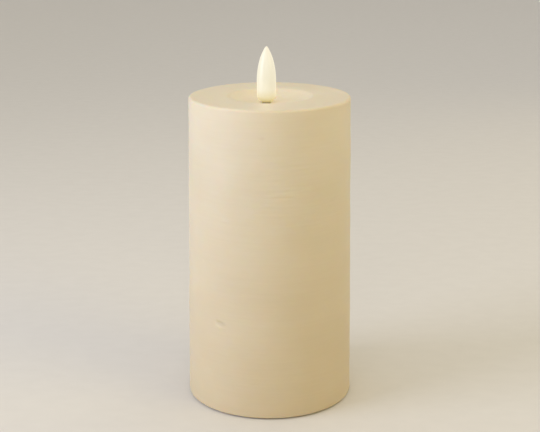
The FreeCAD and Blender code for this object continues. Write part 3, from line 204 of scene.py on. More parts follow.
def stain(piece: Piece, name: str, value: Callable[[Vector], float]) -> None:
    """Writes a number on each of a piece's points, for its finish to read.

    Args:
        piece: the piece.
        name: name of the new attribute.
        value: gives the number at a place.
    """
    attribute = piece.data.attributes.new(name, "FLOAT", "POINT")
    numbers = [value(vertex.co) for vertex in piece.data.vertices]
    attribute.data.foreach_set("value", numbers)


def swell(piece: Piece, group: str, height: float, grain: Place | None = None) -> None:
    """Raises a painted zone along its normals, and applies the modifier.

    Args:
        piece: the piece to shape.
        group: vertex group that says where.
        height: how far the surface rises at full weight; below zero it sinks.
        grain: length of the clouds along X, Y and Z, which spread the height both ways.
    """
    bpy.ops.object.select_all(action="DESELECT")
    piece.select_set(True)
    bpy.context.view_layer.objects.active = piece
    modifier = piece.modifiers.new(group, "DISPLACE")
    modifier.vertex_group = group
    modifier.strength = height
    modifier.mid_level = 0.0
    if grain is not None:
        guide = bpy.data.objects.new(group + "_guide", None)
        bpy.context.scene.collection.objects.link(guide)
        guide.scale = grain
        bpy.context.view_layer.update()
        clouds = bpy.data.textures.new(group, "CLOUDS")
        clouds.noise_scale = 1.0
        clouds.noise_depth = 1
        modifier.texture = clouds
        modifier.texture_coords = "OBJECT"
        modifier.texture_coords_object = guide
        modifier.mid_level = 0.5
    bpy.ops.object.modifier_apply(modifier=modifier.name)
    if grain is not None:
        bpy.data.objects.remove(guide)
        bpy.data.textures.remove(clouds)


def copied(piece: Piece, shift: Vector) -> Piece:
    """Copies a piece, with a mesh of its own, to another place.

    Args:
        piece: the piece to copy.
        shift: how far away the copy stands.

    Returns:
        The copy.
    """
    bpy.ops.object.select_all(action="DESELECT")
    piece.select_set(True)
    bpy.context.view_layer.objects.active = piece
    bpy.ops.object.duplicate(linked=False)
    bpy.ops.transform.translate(value=shift)
    bpy.ops.object.transform_apply(location=True, rotation=False, scale=False)
    return bpy.context.object


def fade(distance: float, full: float, none: float) -> float:
    """Falls smoothly from 1 at one distance to 0 at a longer one.

    Args:
        distance: the distance to judge.
        full: the distance up to which the share is 1.
        none: the distance from which the share is 0.

    Returns:
        The share, from 0 to 1.
    """
    share = min(max((none - distance) / (none - full), 0.0), 1.0)
    return share * share * (3 - 2 * share)


# ---------------------------------------------------------------- finishes


def shown(red: int, green: int, blue: int) -> Colour:
    """Turns a colour as a screen shows it into the linear one that shaders take.

    Args:
        red: red, from 0 to 255.
        green: green, from 0 to 255.
        blue: blue, from 0 to 255.

    Returns:
        The linear colour.
    """
    parts = (part / 255 for part in (red, green, blue))
    return tuple(p / 12.92 if p <= 0.04045 else ((p + 0.055) / 1.055) ** 2.4 for p in parts)


def toned(colour: Colour, share: float) -> Colour:
    """Multiplies each part of a colour by a share."""
    return tuple(part * share for part in colour)


class Graph:
    """The node tree of one material, with a method for each thing that finishes need."""

    def __init__(self, name: str) -> None:
        """Makes the material with its main shader and its place socket.

        Args:
            name: the material's name.
        """
        self.material = bpy.data.materials.new(name)
        self.material.use_nodes = True
        self.tree = self.material.node_tree
        self.shader = self.tree.nodes["Principled BSDF"]
        self.place = self.add("ShaderNodeTexCoord").outputs["Object"]
        self.normal: Socket | None = None

    def add(self, kind: str, **settings: object) -> bpy.types.Node:
        """Adds a node.

        Args:
            kind: the node's type.
            settings: properties to set on it.

        Returns:
            The new node.
        """
        node = self.tree.nodes.new(kind)
        for name, value in settings.items():
            setattr(node, name, value)
        return node

    def feed(self, source: Socket, target: Socket) -> None:
        """Links one socket to another."""
        self.tree.links.new(source, target)

    def fix(self, **values: float | Colour) -> None:
        """Sets sockets of the main shader.

        Args:
            values: the numbers and colours, by socket name with _ for a space.
        """
        for name, value in values.items():
            socket = self.shader.inputs[name.replace("_", " ")]
            is_colour = isinstance(value, tuple) and socket.type == "RGBA"
            socket.default_value = (*value, 1.0) if is_colour else value

    def moved(self, centre: Place, scale: Place) -> Socket:
        """The place measured from a centre, with each axis multiplied.

        Args:
            centre: where the new zero is.
            scale: what each axis is multiplied by.

        Returns:
            The vector socket.
        """
        shift = self.add("ShaderNodeVectorMath", operation="SUBTRACT")
        shift.inputs[1].default_value = centre
        self.feed(self.place, shift.inputs[0])
        stretch = self.add("ShaderNodeVectorMath", operation="MULTIPLY")
        stretch.inputs[1].default_value = scale
        self.feed(shift.outputs[0], stretch.inputs[0])
        return stretch.outputs[0]

    def noise(self, grain: Place, detail: float = 2.0) -> Socket:
        """Soft noise.

        Args:
            grain: length of its patches along X, Y and Z.
            detail: how many finer layers it has.

        Returns:
            The noise as a number near 0.5, from 0 to 1.
        """
        texture = self.add("ShaderNodeTexNoise")
        texture.inputs["Scale"].default_value = 1.0
        texture.inputs["Detail"].default_value = detail
        self.feed(
            self.moved((0, 0, 0), tuple(1 / length for length in grain)),
            texture.inputs["Vector"],
        )
        return texture.outputs[0]

    def along(self, axis: str) -> Socket:
        """The place along one axis.

        Args:
            axis: X, Y or Z.

        Returns:
            The number socket.
        """
        parts = self.add("ShaderNodeSeparateXYZ")
        self.feed(self.place, parts.inputs[0])
        return parts.outputs[axis]

    def ranged(
        self, value: Socket, low: float, high: float, first: float = 0.0, last: float = 1.0
    ) -> Socket:
        """Maps a range of numbers to another, and clamps.

        Args:
            value: the number to map.
            low: what maps to first.
            high: what maps to last.
            first: result at low.
            last: result at high.

        Returns:
            The mapped number.
        """
        node = self.add("ShaderNodeMapRange", clamp=True)
        for name, number in (
            ("From Min", low),
            ("From Max", high),
            ("To Min", first),
            ("To Max", last),
        ):
            node.inputs[name].default_value = number
        self.feed(value, node.inputs["Value"])
        return node.outputs["Result"]

    def ramp(self, value: Socket, *stops: tuple[float, Colour]) -> Socket:
        """Turns a number into a colour.

        Args:
            value: the number.
            stops: each stop's number and colour, in rising order.

        Returns:
            The colour socket.
        """
        node = self.add("ShaderNodeValToRGB")
        elements = node.color_ramp.elements
        while len(elements) < len(stops):
            elements.new(1.0)
        for element, (position, colour) in zip(elements, stops):
            element.position = position
            element.color = (*colour, 1.0)
        self.feed(value, node.inputs[0])
        return node.outputs["Color"]

    def mixed(
        self, share: Socket | float, first: Socket, second: Socket, blend: Blend = Blend.MIX
    ) -> Socket:
        """Mixes two colours.

        Args:
            share: how much of the second is used, as a socket or a number.
            first: the first colour.
            second: the second colour.
            blend: how they are blended.

        Returns:
            The mixed colour.
        """
        node = self.add("ShaderNodeMix", data_type="RGBA", blend_type=blend.value)
        if isinstance(share, float):
            node.inputs[0].default_value = share
        else:
            self.feed(share, node.inputs[0])
        self.feed(first, node.inputs[6])
        self.feed(second, node.inputs[7])
        return node.outputs[2]

    def relief(self, height: Socket, depth: float) -> None:
        """Adds a layer of relief to the surface.

        Args:
            height: the relief as a number from 0 to 1.
            depth: how deep the relief is between 0 and 1.
        """
        bump = self.add("ShaderNodeBump")
        bump.inputs["Strength"].default_value = 1.0
        bump.inputs["Distance"].default_value = depth
        self.feed(height, bump.inputs["Height"])
        if self.normal is not None:
            self.feed(self.normal, bump.inputs["Normal"])
        self.normal = bump.outputs["Normal"]

    def done(
        self, colour: Socket, roughness: Socket | None = None
    ) -> bpy.types.Material:
        """Links what was made to the shader.

        Args:
            colour: the surface's colour.
            roughness: its roughness, where that varies.

        Returns:
            The finished material.
        """
        self.feed(colour, self.shader.inputs["Base Color"])
        if roughness is not None:
            self.feed(roughness, self.shader.inputs["Roughness"])
        if self.normal is not None:
            self.feed(self.normal, self.shader.inputs["Normal"])
        return self.material


@dataclass(frozen=True)
class Finish:
    """A surface. Each kind adds its own nodes.

    Attributes:
        name: the material's name.
        colour: its main colour.
        roughness: its middle roughness.
    """

    name: str
    colour: Colour
    roughness: float

    def material(self) -> bpy.types.Material:
        """The material, which is made the first time and shared after that."""
        return bpy.data.materials.get(self.name) or self.made(Graph(self.name))

    def made(self, graph: Graph) -> bpy.types.Material:
        """Makes the material. Each kind of finish has its own way."""
        raise NotImplementedError

    def wear(self, piece: Piece) -> None:
        """Puts the finish on a piece.

        Args:
            piece: the piece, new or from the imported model.
        """
        if not piece.material_slots:
            piece.data.materials.append(None)
        for place in piece.material_slots:
            place.material = self.material()


@dataclass(frozen=True)
class Moulded(Finish):
    """Moulded plastic, rubber or glue, with a fine grain and faint flow marks.

    Attributes:
        grain: length of the surface grain.
        relief: depth of the grain.
        patchiness: share by which the colour varies.
        scatter: share of the light that goes in and comes out near by.
    """

    grain: float = 0.35 * MM
    relief: float = 0.008 * MM
    patchiness: float = 0.08
    scatter: float = 0.0

    flow: ClassVar[Place] = (14 * MM, 9 * MM, 6 * MM)

    def made(self, graph: Graph) -> bpy.types.Material:
        """Flow marks in the colour and the gloss over a fine grain.

        Args:
            graph: the new material's empty graph.

        Returns:
            The finished material.
        """
        flow = graph.noise(self.flow, detail=4)
        dark = toned(self.colour, 1 - self.patchiness)
        colour = graph.ramp(flow, (0.32, dark), (0.68, self.colour))
        gloss = graph.ranged(flow, 0.3, 0.7, self.roughness + 0.07, self.roughness - 0.05)
        graph.relief(graph.noise((self.grain,) * 3, detail=2), self.relief)
        graph.fix(
            Subsurface_Weight=self.scatter,
            Subsurface_Radius=(1.0, 0.7, 0.45),
            Subsurface_Scale=1.2 * MM,
        )
        return graph.done(colour, gloss)


@dataclass(frozen=True)
class Metal(Finish):
    """Bare or plated metal with fine lines one way and a faint tarnish.

    Attributes:
        tarnish: colour where the metal has dulled.
        lines: length of the working lines along X, Y and Z.
    """

    tarnish: Colour = (0.3, 0.28, 0.24)
    lines: Place = (3 * MM, 0.12 * MM, 0.12 * MM)

    patch: ClassVar[float] = 2.5 * MM

    def made(self, graph: Graph) -> bpy.types.Material:
        """Working lines in the gloss and the relief, tarnish in patches.

        Args:
            graph: the new material's empty graph.

        Returns:
            The finished material.
        """
        graph.fix(Metallic=1.0)
        patches = graph.noise((self.patch,) * 3, detail=5)
        lines = graph.noise(self.lines, detail=2)
        colour = graph.ramp(patches, (0.5, self.colour), (0.78, self.tarnish))
        gloss = graph.ranged(lines, 0.3, 0.7, self.roughness - 0.08, self.roughness + 0.1)
        graph.relief(lines, 0.004 * MM)
        return graph.done(colour, gloss)


@dataclass(frozen=True)
class CellJacket(Finish):
    """The printed sleeve of a battery cell, open over its metal ends.

    Attributes:
        node: the cell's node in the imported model.
        plus: 1 where the nub points along +X, and -1 along -X.
        band: colour of the band at the nub's end.
        steel: colour of the bare ends.
    """

    node: str
    plus: int
    band: Colour = shown(206, 208, 206)
    steel: Colour = shown(196, 196, 192)

    scuff: ClassVar[Place] = (9 * MM, 2 * MM, 2 * MM)
    rolled_edge: ClassVar[float] = 1.1 * MM

    def made(self, graph: Graph) -> bpy.types.Material:
        """Sleeve, band and thin ring along the cell, and bare steel inside the sleeve's edge.

        Args:
            graph: the new material's empty graph.

        Returns:
            The finished material.
        """
        low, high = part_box(self.node)
        middle = (low + high) / 2
        radius = (high.y - low.y) / 2
        way = graph.ranged(
            graph.along("X"),
            middle.x - self.plus * (high.x - low.x) / 2,
            middle.x + self.plus * (high.x - low.x) / 2,
        )
        scuffs = graph.noise(self.scuff, detail=4)
        body = graph.ramp(scuffs, (0.35, toned(self.colour, 0.85)), (0.7, self.colour))
        rings = graph.ramp(
            way, (0.0, (0, 0, 0)), (0.70, (0, 0, 0)), (0.705, (1, 1, 1)), (0.715, (1, 1, 1)),
            (0.72, (0, 0, 0)), (0.735, (0, 0, 0)), (0.74, (1, 1, 1)),
        )
        pale = graph.ramp(scuffs, (0.3, toned(self.band, 0.9)), (0.7, self.band))
        sleeve = graph.mixed(rings, body, pale)
        from_axis = graph.add("ShaderNodeVectorMath", operation="LENGTH")
        graph.feed(graph.moved(tuple(middle), (0, 1, 1)), from_axis.inputs[0])
        inner = radius - self.rolled_edge
        bare = graph.ranged(from_axis.outputs["Value"], inner, inner + 0.1 * MM, 1.0, 0.0)
        ends = graph.ramp(scuffs, (0.3, toned(self.steel, 0.8)), (0.7, self.steel))
        graph.feed(bare, graph.shader.inputs["Metallic"])
        gloss = graph.ranged(scuffs, 0.3, 0.7, self.roughness, self.roughness + 0.12)
        graph.relief(graph.noise((0.8 * MM,) * 3), 0.006 * MM)
        return graph.done(graph.mixed(bare, sleeve, ends), gloss)


@dataclass(frozen=True)
class SolderMask(Finish):
    """The lacquer of a circuit board, with the copper tracks showing through as paler lines.

    Attributes:
        track: colour over a track.
    """

    track: Colour = shown(46, 122, 78)

    def made(self, graph: Graph) -> bpy.types.Material:
        """Tracks in a stepped pattern, which stand up a little from the board.

        Args:
            graph: the new material's empty graph.

        Returns:
            The finished material.
        """
        steps = graph.add("ShaderNodeTexBrick", offset=0.35, squash=1.0)
        for name, number in (
            ("Scale", 1.0),
            ("Mortar Size", 0.07),
            ("Mortar Smooth", 0.2),
            ("Brick Width", 2.3),
            ("Row Height", 0.8),
        ):
            steps.inputs[name].default_value = number
        graph.feed(graph.moved((0, 0, 0), (1 / (3 * MM),) * 3), steps.inputs["Vector"])
        tracks = steps.outputs["Fac"]
        weave = graph.noise((0.5 * MM,) * 3, detail=3)
        mask = graph.ramp(weave, (0.3, toned(self.colour, 0.8)), (0.7, self.colour))
        over = graph.ramp(weave, (0.3, toned(self.track, 0.9)), (0.7, self.track))
        graph.relief(tracks, 0.035 * MM)
        gloss = graph.ranged(weave, 0.3, 0.7, self.roughness - 0.05, self.roughness + 0.08)
        return graph.done(graph.mixed(tracks, mask, over), gloss)


@dataclass(frozen=True)
class ClearResin(Finish):
    """The clear lens of the lamp, with its lit chip low inside."""

    def made(self, graph: Graph) -> bpy.types.Material:
        """Warm resin that is brighter over the chip.

        Args:
            graph: the new material's empty graph.

        Returns:
            The finished material.
        """
        low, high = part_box("led_lens")
        lit = graph.ranged(graph.along("Z"), low.z, high.z)
        colour = graph.ramp(lit, (0.0, toned(self.colour, 0.8)), (1.0, self.colour))
        haze = graph.noise((0.6 * MM,) * 3, detail=3)
        gloss = graph.ranged(haze, 0.3, 0.7, self.roughness, self.roughness + 0.1)
        graph.feed(colour, graph.shader.inputs["Emission Color"])
        graph.fix(Emission_Strength=1.2, Transmission_Weight=0.6, IOR=1.52)
        return graph.done(colour, gloss)


@dataclass(frozen=True)
class CastWax(Finish):
    """Cast paraffin wax: translucent, satin, with faint casting streaks, darkened towards the foot
    as painted shade and paler just under the rim as painted flame light.

    Attributes:
        painted_shade_foot_colour: colour near the foot, darkened there as painted shade.
        foot: height of the foot.
        rim: height of the rim.
        clouds: size of the cloudy patches along X, Y and Z.
        streaks: size of the casting streaks along X, Y and Z.
        pores: size of the pores.
        relief: depth of streaks and pores.
        scatter: share of the light that goes in and comes out near by.
        reach: how far that light goes inside.
    """

    painted_shade_foot_colour: Colour
    foot: float
    rim: float
    clouds: Place = (34 * MM, 34 * MM, 26 * MM)
    streaks: Place = (26 * MM, 26 * MM, 1.1 * MM)
    pores: float = 0.7 * MM
    relief: float = 0.012 * MM
    scatter: float = 0.55
    reach: float = 2 * MM

    # Attribute that says where the dents and lips are, for the painted shade in the dents and the
    # painted highlight on the lips.
    dent_shade_and_lip_highlight: ClassVar[str] = "dent_shade_and_lip_highlight"

    def made(self, graph: Graph) -> bpy.types.Material:
        """Painted shade towards the foot and painted flame light under the rim by height, clouds,
        streaks, painted shade in the dents and painted highlight on their lips in the colour, and
        pores in the relief.

        Args:
            graph: the new material's empty graph.

        Returns:
            The finished material.
        """
        height = graph.ranged(graph.along("Z"), self.foot, self.rim)
        # Painted shade: darker towards the foot; painted light from the flame: paler just under
        # the rim.
        depth = graph.ramp(
            height,
            (0.0, self.painted_shade_foot_colour),
            (0.45, tuple((a + b) / 2 for a, b in zip(self.painted_shade_foot_colour, self.colour))),
            (0.86, self.colour),
            (0.97, toned(self.colour, 1.04)),
        )
        clouds = graph.noise(self.clouds, detail=4)
        cloudy = graph.ramp(clouds, (0.3, (0.965, 0.955, 0.935)), (0.7, (1, 1, 1)))
        streaks = graph.noise(self.streaks, detail=3)
        streaky = graph.ramp(streaks, (0.35, (0.985, 0.982, 0.975)), (0.65, (1, 1, 1)))
        colour = graph.mixed(1.0, depth, cloudy, Blend.MULTIPLY)
        colour = graph.mixed(1.0, colour, streaky, Blend.MULTIPLY)
        # Painted shade: the dents are darkened, and the lips raised beside them are lightened as
        # painted highlight.
        marks = graph.add("ShaderNodeAttribute", attribute_name=self.dent_shade_and_lip_highlight)
        painted_dent_shade_and_lip_highlight = graph.ramp(
            graph.ranged(marks.outputs["Fac"], -0.5, 1.0),
            (0.0, (1.0, 1.0, 1.0)),
            (0.30, (0.955, 0.955, 0.955)),
            (0.36, (0.955, 0.955, 0.955)),
            (0.8, (0.885, 0.87, 0.84)),
        )
        colour = graph.mixed(1.0, colour, painted_dent_shade_and_lip_highlight, Blend.MULTIPLY)
        gloss = graph.ranged(streaks, 0.3, 0.7, self.roughness - 0.05, self.roughness + 0.07)
        graph.relief(streaks, self.relief)
        graph.relief(graph.noise((self.pores,) * 3, detail=3), self.relief)
        graph.fix(
            Subsurface_Weight=self.scatter,
            Subsurface_Radius=(1.0, 0.6, 0.28),
            Subsurface_Scale=self.reach,
            IOR=1.44,
            Specular_IOR_Level=0.42,
        )
        return graph.done(colour, gloss)


@dataclass(frozen=True)
class LitPlastic(Finish):
    """The milky plastic of the flame, lit from inside.

    Attributes:
        foot: height of the flame's rounded foot.
        tip: height of the flame's tip.
        haze: size of the milky patches along X, Y and Z.
        below: how far under the foot the light begins; the neck there is dimmed as painted shade.
    """

    foot: float
    tip: float
    haze: Place = (4 * MM, 4 * MM, 9 * MM)
    below: float = 3 * MM

    glow: ClassVar[tuple[tuple[float, Colour], ...]] = (
        # The first two stops dim the neck under the foot as painted shade from the hole round it;
        # the rest is the lamp's own glow.
        (0.0, shown(60, 50, 32)),
        (0.085, shown(100, 86, 54)),
        (0.11, shown(176, 160, 104)),
        (0.17, shown(196, 184, 146)),
        (0.30, shown(206, 201, 182)),
        (0.70, shown(208, 205, 190)),
        (1.0, shown(214, 209, 194)),
    )

    def made(self, graph: Graph) -> bpy.types.Material:
        """Light that is amber at the foot, and cream from there to the tip; the neck under the
        foot is dimmed as painted shade.

        Args:
            graph: the new material's empty graph.

        Returns:
            The finished material.
        """
        height = graph.ranged(graph.along("Z"), self.foot - self.below, self.tip)
        light = graph.ramp(height, *self.glow)
        haze = graph.noise(self.haze, detail=3)
        cast = graph.ramp(haze, (0.3, (0.96, 0.955, 0.94)), (0.7, (1, 1, 1)))
        graph.feed(
            graph.mixed(1.0, light, cast, Blend.MULTIPLY), graph.shader.inputs["Emission Color"]
        )
        skin = graph.ramp(haze, (0.3, toned(self.colour, 0.94)), (0.7, self.colour))
        gloss = graph.ranged(haze, 0.3, 0.7, self.roughness - 0.04, self.roughness + 0.06)
        graph.relief(graph.noise((0.5 * MM,) * 3, detail=2), 0.006 * MM)
        graph.fix(Emission_Strength=1.0, IOR=1.5)
        return graph.done(skin, gloss)


# ---------------------------------------------------------------- sub-assemblies


class SubAssembly:
    """Pieces that are built and dressed together, and ride on one body."""

    body: ClassVar[Body] = Body.CANDLE
    finishes: ClassVar[dict[str, Finish]] = {}

    def build(self) -> None:
        """Models the new pieces. A sub-assembly of CAD nodes alone has none."""

    def dress(self) -> None:
        """Puts each CAD node's finish on it."""
        for node, finish in self.finishes.items():
            finish.wear(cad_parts[node])
            log.info("%s on %s wears %s", node, self.body.value, finish.name)


def adopt(piece: Piece, name: str, body: Body, slot: str, *nodes: str) -> None:
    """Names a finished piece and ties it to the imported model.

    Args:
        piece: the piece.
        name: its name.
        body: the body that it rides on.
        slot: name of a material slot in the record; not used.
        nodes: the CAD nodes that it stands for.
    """
    piece.name = name
    piece.data.name = name
    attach(piece, body.value)
    if nodes:
        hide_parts(*nodes)
    log.info("%s: %d faces on %s", name, len(piece.data.polygons), body.value)


@dataclass(frozen=True)
class Dent:
    """A shallow mark in the side of the wax.

    Attributes:
        bearing: degrees round from the front, above zero to the right.
        height: height of its middle.
        half_length: how far it reaches each way along the surface.
        half_height: how far it reaches up and down.
        depth: how deep it is; below zero it stands out.
        tilt: degrees that its right end is turned up.
    """

    bearing: float
    height: float
    half_length: float
    half_height: float
    depth: float
    tilt: float = 0.0

    def at(self, spot: Vector, radius: float) -> float:
        """How deep the mark is at a place on the side.

        Args:
            spot: the place.
            radius: the candle's radius.

        Returns:
            The depth, zero outside the mark.
        """
        bearing = math.atan2(spot.x, -spot.y) - math.radians(self.bearing)
        across, up = bearing * radius, spot.z - self.height
        turn = math.radians(self.tilt)
        along = across * math.cos(turn) + up * math.sin(turn)
        over = up * math.cos(turn) - across * math.sin(turn)
        return self.depth * fade(
            math.hypot(along / self.half_length, over / self.half_height), 0.1, 1.0
        )


@dataclass
class WaxPillar(SubAssembly):
    """The cast wax pillar with its melt dish, hollow from below.

    Attributes:
        draft: how much smaller the rim is than the foot.
        rim_round: rounding of the rim.
        foot_round: rounding of the foot.
        dish_radius: the melt dish at its edge.
        dish_depth: the melt dish at its middle.
        lip_round: soft edge of the dish.
        wick_x: the flame's place along X.
        hole_radius: hole for the flame's neck.
        hole_edge: rounding of that hole's edge.
        skin: wax between the dish and the holder's pocket.
        roof: wax under the lowest point of the dish.
        pocket_radius: the pocket for the flame's holder.
        wall: wax round the hollow.
        seat_wall: wax outside the seat of the base plate.
        seat_depth: how deep that seat is.
        columns: faces round the pillar.
        ripple_height: height of the casting ripples.
        ripple_grain: size of the ripples along X, Y and Z.
        skin_height: how far the whole skin swells and sinks.
        skin_grain: size of those swellings along X, Y and Z.
    """

    draft: float = 2.2 * MM
    rim_round: float = 1.4 * MM
    foot_round: float = 1.2 * MM
    dish_radius: float = 22.8 * MM
    dish_depth: float = 3.9 * MM
    lip_round: float = 9.0 * MM
    wick_x: float = -1.7 * MM
    hole_radius: float = 2.6 * MM
    hole_edge: float = 0.4 * MM
    skin: float = 3.6 * MM
    roof: float = 12.0 * MM
    pocket_radius: float = 5.6 * MM
    wall: float = 5.5 * MM
    seat_wall: float = 4.0 * MM
    seat_depth: float = 2.0 * MM
    columns: int = 272
    ripple_height: float = 0.24 * MM
    ripple_grain: Place = (14 * MM, 14 * MM, 1.5 * MM)
    skin_height: float = 0.42 * MM
    skin_grain: Place = (44 * MM, 44 * MM, 21 * MM)

    coarse: ClassVar[float] = 0.95 * MM
    fine: ClassVar[float] = 0.5 * MM
    ripples: ClassVar[tuple[float, float]] = (94 * MM, 160 * MM)
    dented: ClassVar[tuple[float, float]] = (42 * MM, 58 * MM)
    marks: ClassVar[tuple[Dent, ...]] = (
        Dent(-35.6, 51.8 * MM, 4.8 * MM, 1.7 * MM, 0.62 * MM, -20),
        Dent(-37.6, 49.6 * MM, 5.4 * MM, 1.2 * MM, -0.30 * MM, -22),
        Dent(-5.2, 153.4 * MM, 1.8 * MM, 1.6 * MM, 0.20 * MM),
        Dent(-51.0, 84.0 * MM, 4.4 * MM, 1.3 * MM, -0.14 * MM),
        Dent(-33.0, 109.0 * MM, 4.0 * MM, 1.2 * MM, -0.12 * MM),
        Dent(-45.5, 23.5 * MM, 4.4 * MM, 1.5 * MM, -0.14 * MM, 6),
        Dent(-10.4, 20.5 * MM, 5.0 * MM, 1.4 * MM, 0.12 * MM),
        Dent(48.0, 118.0 * MM, 5.0 * MM, 1.7 * MM, 0.10 * MM, 12),
        Dent(128.0, 62.0 * MM, 6.0 * MM, 1.9 * MM, 0.34 * MM, -14),
        Dent(126.0, 59.4 * MM, 5.0 * MM, 1.2 * MM, -0.18 * MM, -14),
        Dent(-112.0, 131.0 * MM, 4.4 * MM, 1.6 * MM, 0.20 * MM, 9),
        Dent(171.0, 96.0 * MM, 3.2 * MM, 2.4 * MM, 0.22 * MM),
    )

    def __post_init__(self) -> None:
        """Reads the pillar's foot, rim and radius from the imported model."""
        low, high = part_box("wax_shell")
        self.foot, self.rim = low.z, high.z
        self.foot_radius = high.y
        self.rim_radius = self.foot_radius - self.draft
        self.floor = self.rim - self.dish_depth

    def side_radius(self, height: float) -> float:
        """The drafted radius at a height.

        Args:
            height: the height above the floor.

        Returns:
            The radius.
        """
        share = (height - self.foot) / (self.rim - self.foot)
        return self.foot_radius + (self.rim_radius - self.foot_radius) * share

    def outline(self) -> Outline:
        """The section from the wick hole over the top, down the side and back inside.

        Returns:
            The closed outline.
        """
        bowl = (self.dish_radius**2 + self.dish_depth**2) / (2 * self.dish_depth)
        lip = self.lip_round
        lip_end = math.sqrt(self.dish_depth * (2 * (bowl + lip) - self.dish_depth))
        share = bowl / (bowl + lip)
        lip_low = self.floor + bowl - (bowl - self.dish_depth + lip) * share
        pocket_top = self.floor - self.skin
        hollow_roof = self.floor - self.roof
        seat = self.foot + self.seat_depth
        outline = Outline(self.hole_radius, pocket_top)
        outline.line(self.hole_radius, self.floor - self.hole_edge, self.coarse)
        outline.arc(
            self.hole_radius + self.hole_edge, self.floor, -self.hole_edge, 0.2 * MM
        )
        outline.arc(lip_end * share, lip_low, bowl, 0.85 * MM)
        outline.arc(lip_end, self.rim, -lip, 0.5 * MM)
        outline.line(self.rim_radius - self.rim_round, self.rim, 1.1 * MM)
        shoulder = self.rim - self.rim_round
        outline.arc(self.side_radius(shoulder), shoulder, -self.rim_round, 0.3 * MM)
        ripple_low, ripple_high = self.ripples
        dent_low, dent_high = self.dented
        for height, step in (
            (ripple_high, self.coarse),
            (ripple_low, self.fine),
            (dent_high, self.coarse),
            (dent_low, self.fine),
            (self.foot + self.foot_round, self.coarse),
        ):
            outline.line(self.side_radius(height), height, step)
        outline.arc(
            self.foot_radius - self.foot_round, self.foot, -self.foot_round, 0.3 * MM
        )
        seat_radius = self.foot_radius - self.seat_wall
        outline.line(seat_radius, self.foot, 2 * MM)
        outline.line(seat_radius, seat, 2 * MM)
        outline.line(self.foot_radius - self.wall, seat, 2 * MM)
        outline.line(self.rim_radius - self.wall, hollow_roof, 12 * MM)
        outline.line(self.pocket_radius, hollow_roof, 5 * MM)
        outline.line(self.pocket_radius, pocket_top, 3 * MM)
        outline.line(self.hole_radius, pocket_top, 2 * MM)
        return outline

    def shift_middle(self, piece: Piece) -> None:
        """Moves the wick hole and the pocket to the flame's place, and eases the dish after.

        Args:
            piece: the turned pillar.
        """
        bpy.ops.object.mode_set(mode="EDIT")
        bpy.ops.mesh.select_all(action="DESELECT")
        bpy.ops.object.mode_set(mode="OBJECT")
        reach = self.pocket_radius + 1 * MM
        for vertex in piece.data.vertices:
            vertex.select = math.hypot(vertex.co.x, vertex.co.y) < reach
        bpy.ops.object.mode_set(mode="EDIT")
        bpy.ops.transform.translate(
            value=(self.wick_x, 0, 0),
            use_proportional_edit=True,
            proportional_edit_falloff="SMOOTH",
            proportional_size=self.dish_radius - reach,
        )
        bpy.ops.object.mode_set(mode="OBJECT")

    def skin_share(self, spot: Vector) -> float:
        """How far a place is on the outside.

        Args:
            spot: the place.

        Returns:
            1 on the side and the top, 0 on the foot and in the hollow.
        """
        radius = math.hypot(spot.x, spot.y)
        if radius > self.side_radius(spot.z) - 0.6 * MM:
            return fade(-spot.z, -self.foot - 8 * MM, -self.foot - self.foot_round)
        if spot.z > self.floor - 0.1 * MM:
            return fade(-radius, -(self.hole_radius + 6 * MM), -(self.hole_radius + 2 * MM))
        return 0.0

    def ripple_share(self, spot: Vector) -> float:
        """How strong the casting ripples are: most on the front, right of its middle.

        Args:
            spot: the place.

        Returns:
            The share, from 0 to 1.
        """
        if self.skin_share(spot) == 0 or spot.z > self.rim - 4 * MM:
            return 0.0
        bearing = math.degrees(math.atan2(spot.x, -spot.y))
        low, high = self.ripples
        middle = (low + high) / 2
        upright = fade(abs(spot.z - middle), (high - low) * 0.22, (high - low) / 2)
        return upright * (0.22 + 0.78 * fade(abs(bearing - 12), 10, 34))

    def mark_depth(self, spot: Vector) -> float:
        """How deep all the marks together are at a place.

        Args:
            spot: the place.

        Returns:
            The depth, below zero where a lip stands out.
        """
        if math.hypot(spot.x, spot.y) < self.side_radius(spot.z) - 0.6 * MM:
            return 0.0
        return sum(mark.at(spot, self.foot_radius) for mark in self.marks)

    def build(self) -> None:
        """Turns the pillar, moves its wick hole off the middle and works its surface."""
        piece = self.outline().turned(self.columns)
        self.shift_middle(piece)
        deepest = max(mark.depth for mark in self.marks)
        proudest = max(-mark.depth for mark in self.marks)
        paint(piece, "dents", lambda spot: self.mark_depth(spot) / deepest)
        paint(piece, "lips", lambda spot: -self.mark_depth(spot) / proudest)
        paint(piece, "ripples", self.ripple_share)
        paint(piece, "skin", self.skin_share)
        # The mark depths, which the wax's finish turns into painted shade in the dents and painted
        # highlight on their lips.
        stain(piece, CastWax.dent_shade_and_lip_highlight, lambda spot: self.mark_depth(spot) / deepest)
        swell(piece, "dents", -deepest)
        swell(piece, "lips", proudest)
        swell(piece, "ripples", self.ripple_height, self.ripple_grain)
        swell(piece, "skin", self.skin_height, self.skin_grain)
        piece.vertex_groups.clear()
        # The wax's own colour; the colour given for the foot is darker as painted shade.
        CastWax(
            name="cast_wax",
            colour=shown(227, 216, 192),
            roughness=0.46,
            painted_shade_foot_colour=shown(211, 195, 163),
            foot=self.foot,
            rim=self.rim,
        ).wear(piece)
        adopt(piece, "wax_pillar", self.body, "wax", "wax_shell")


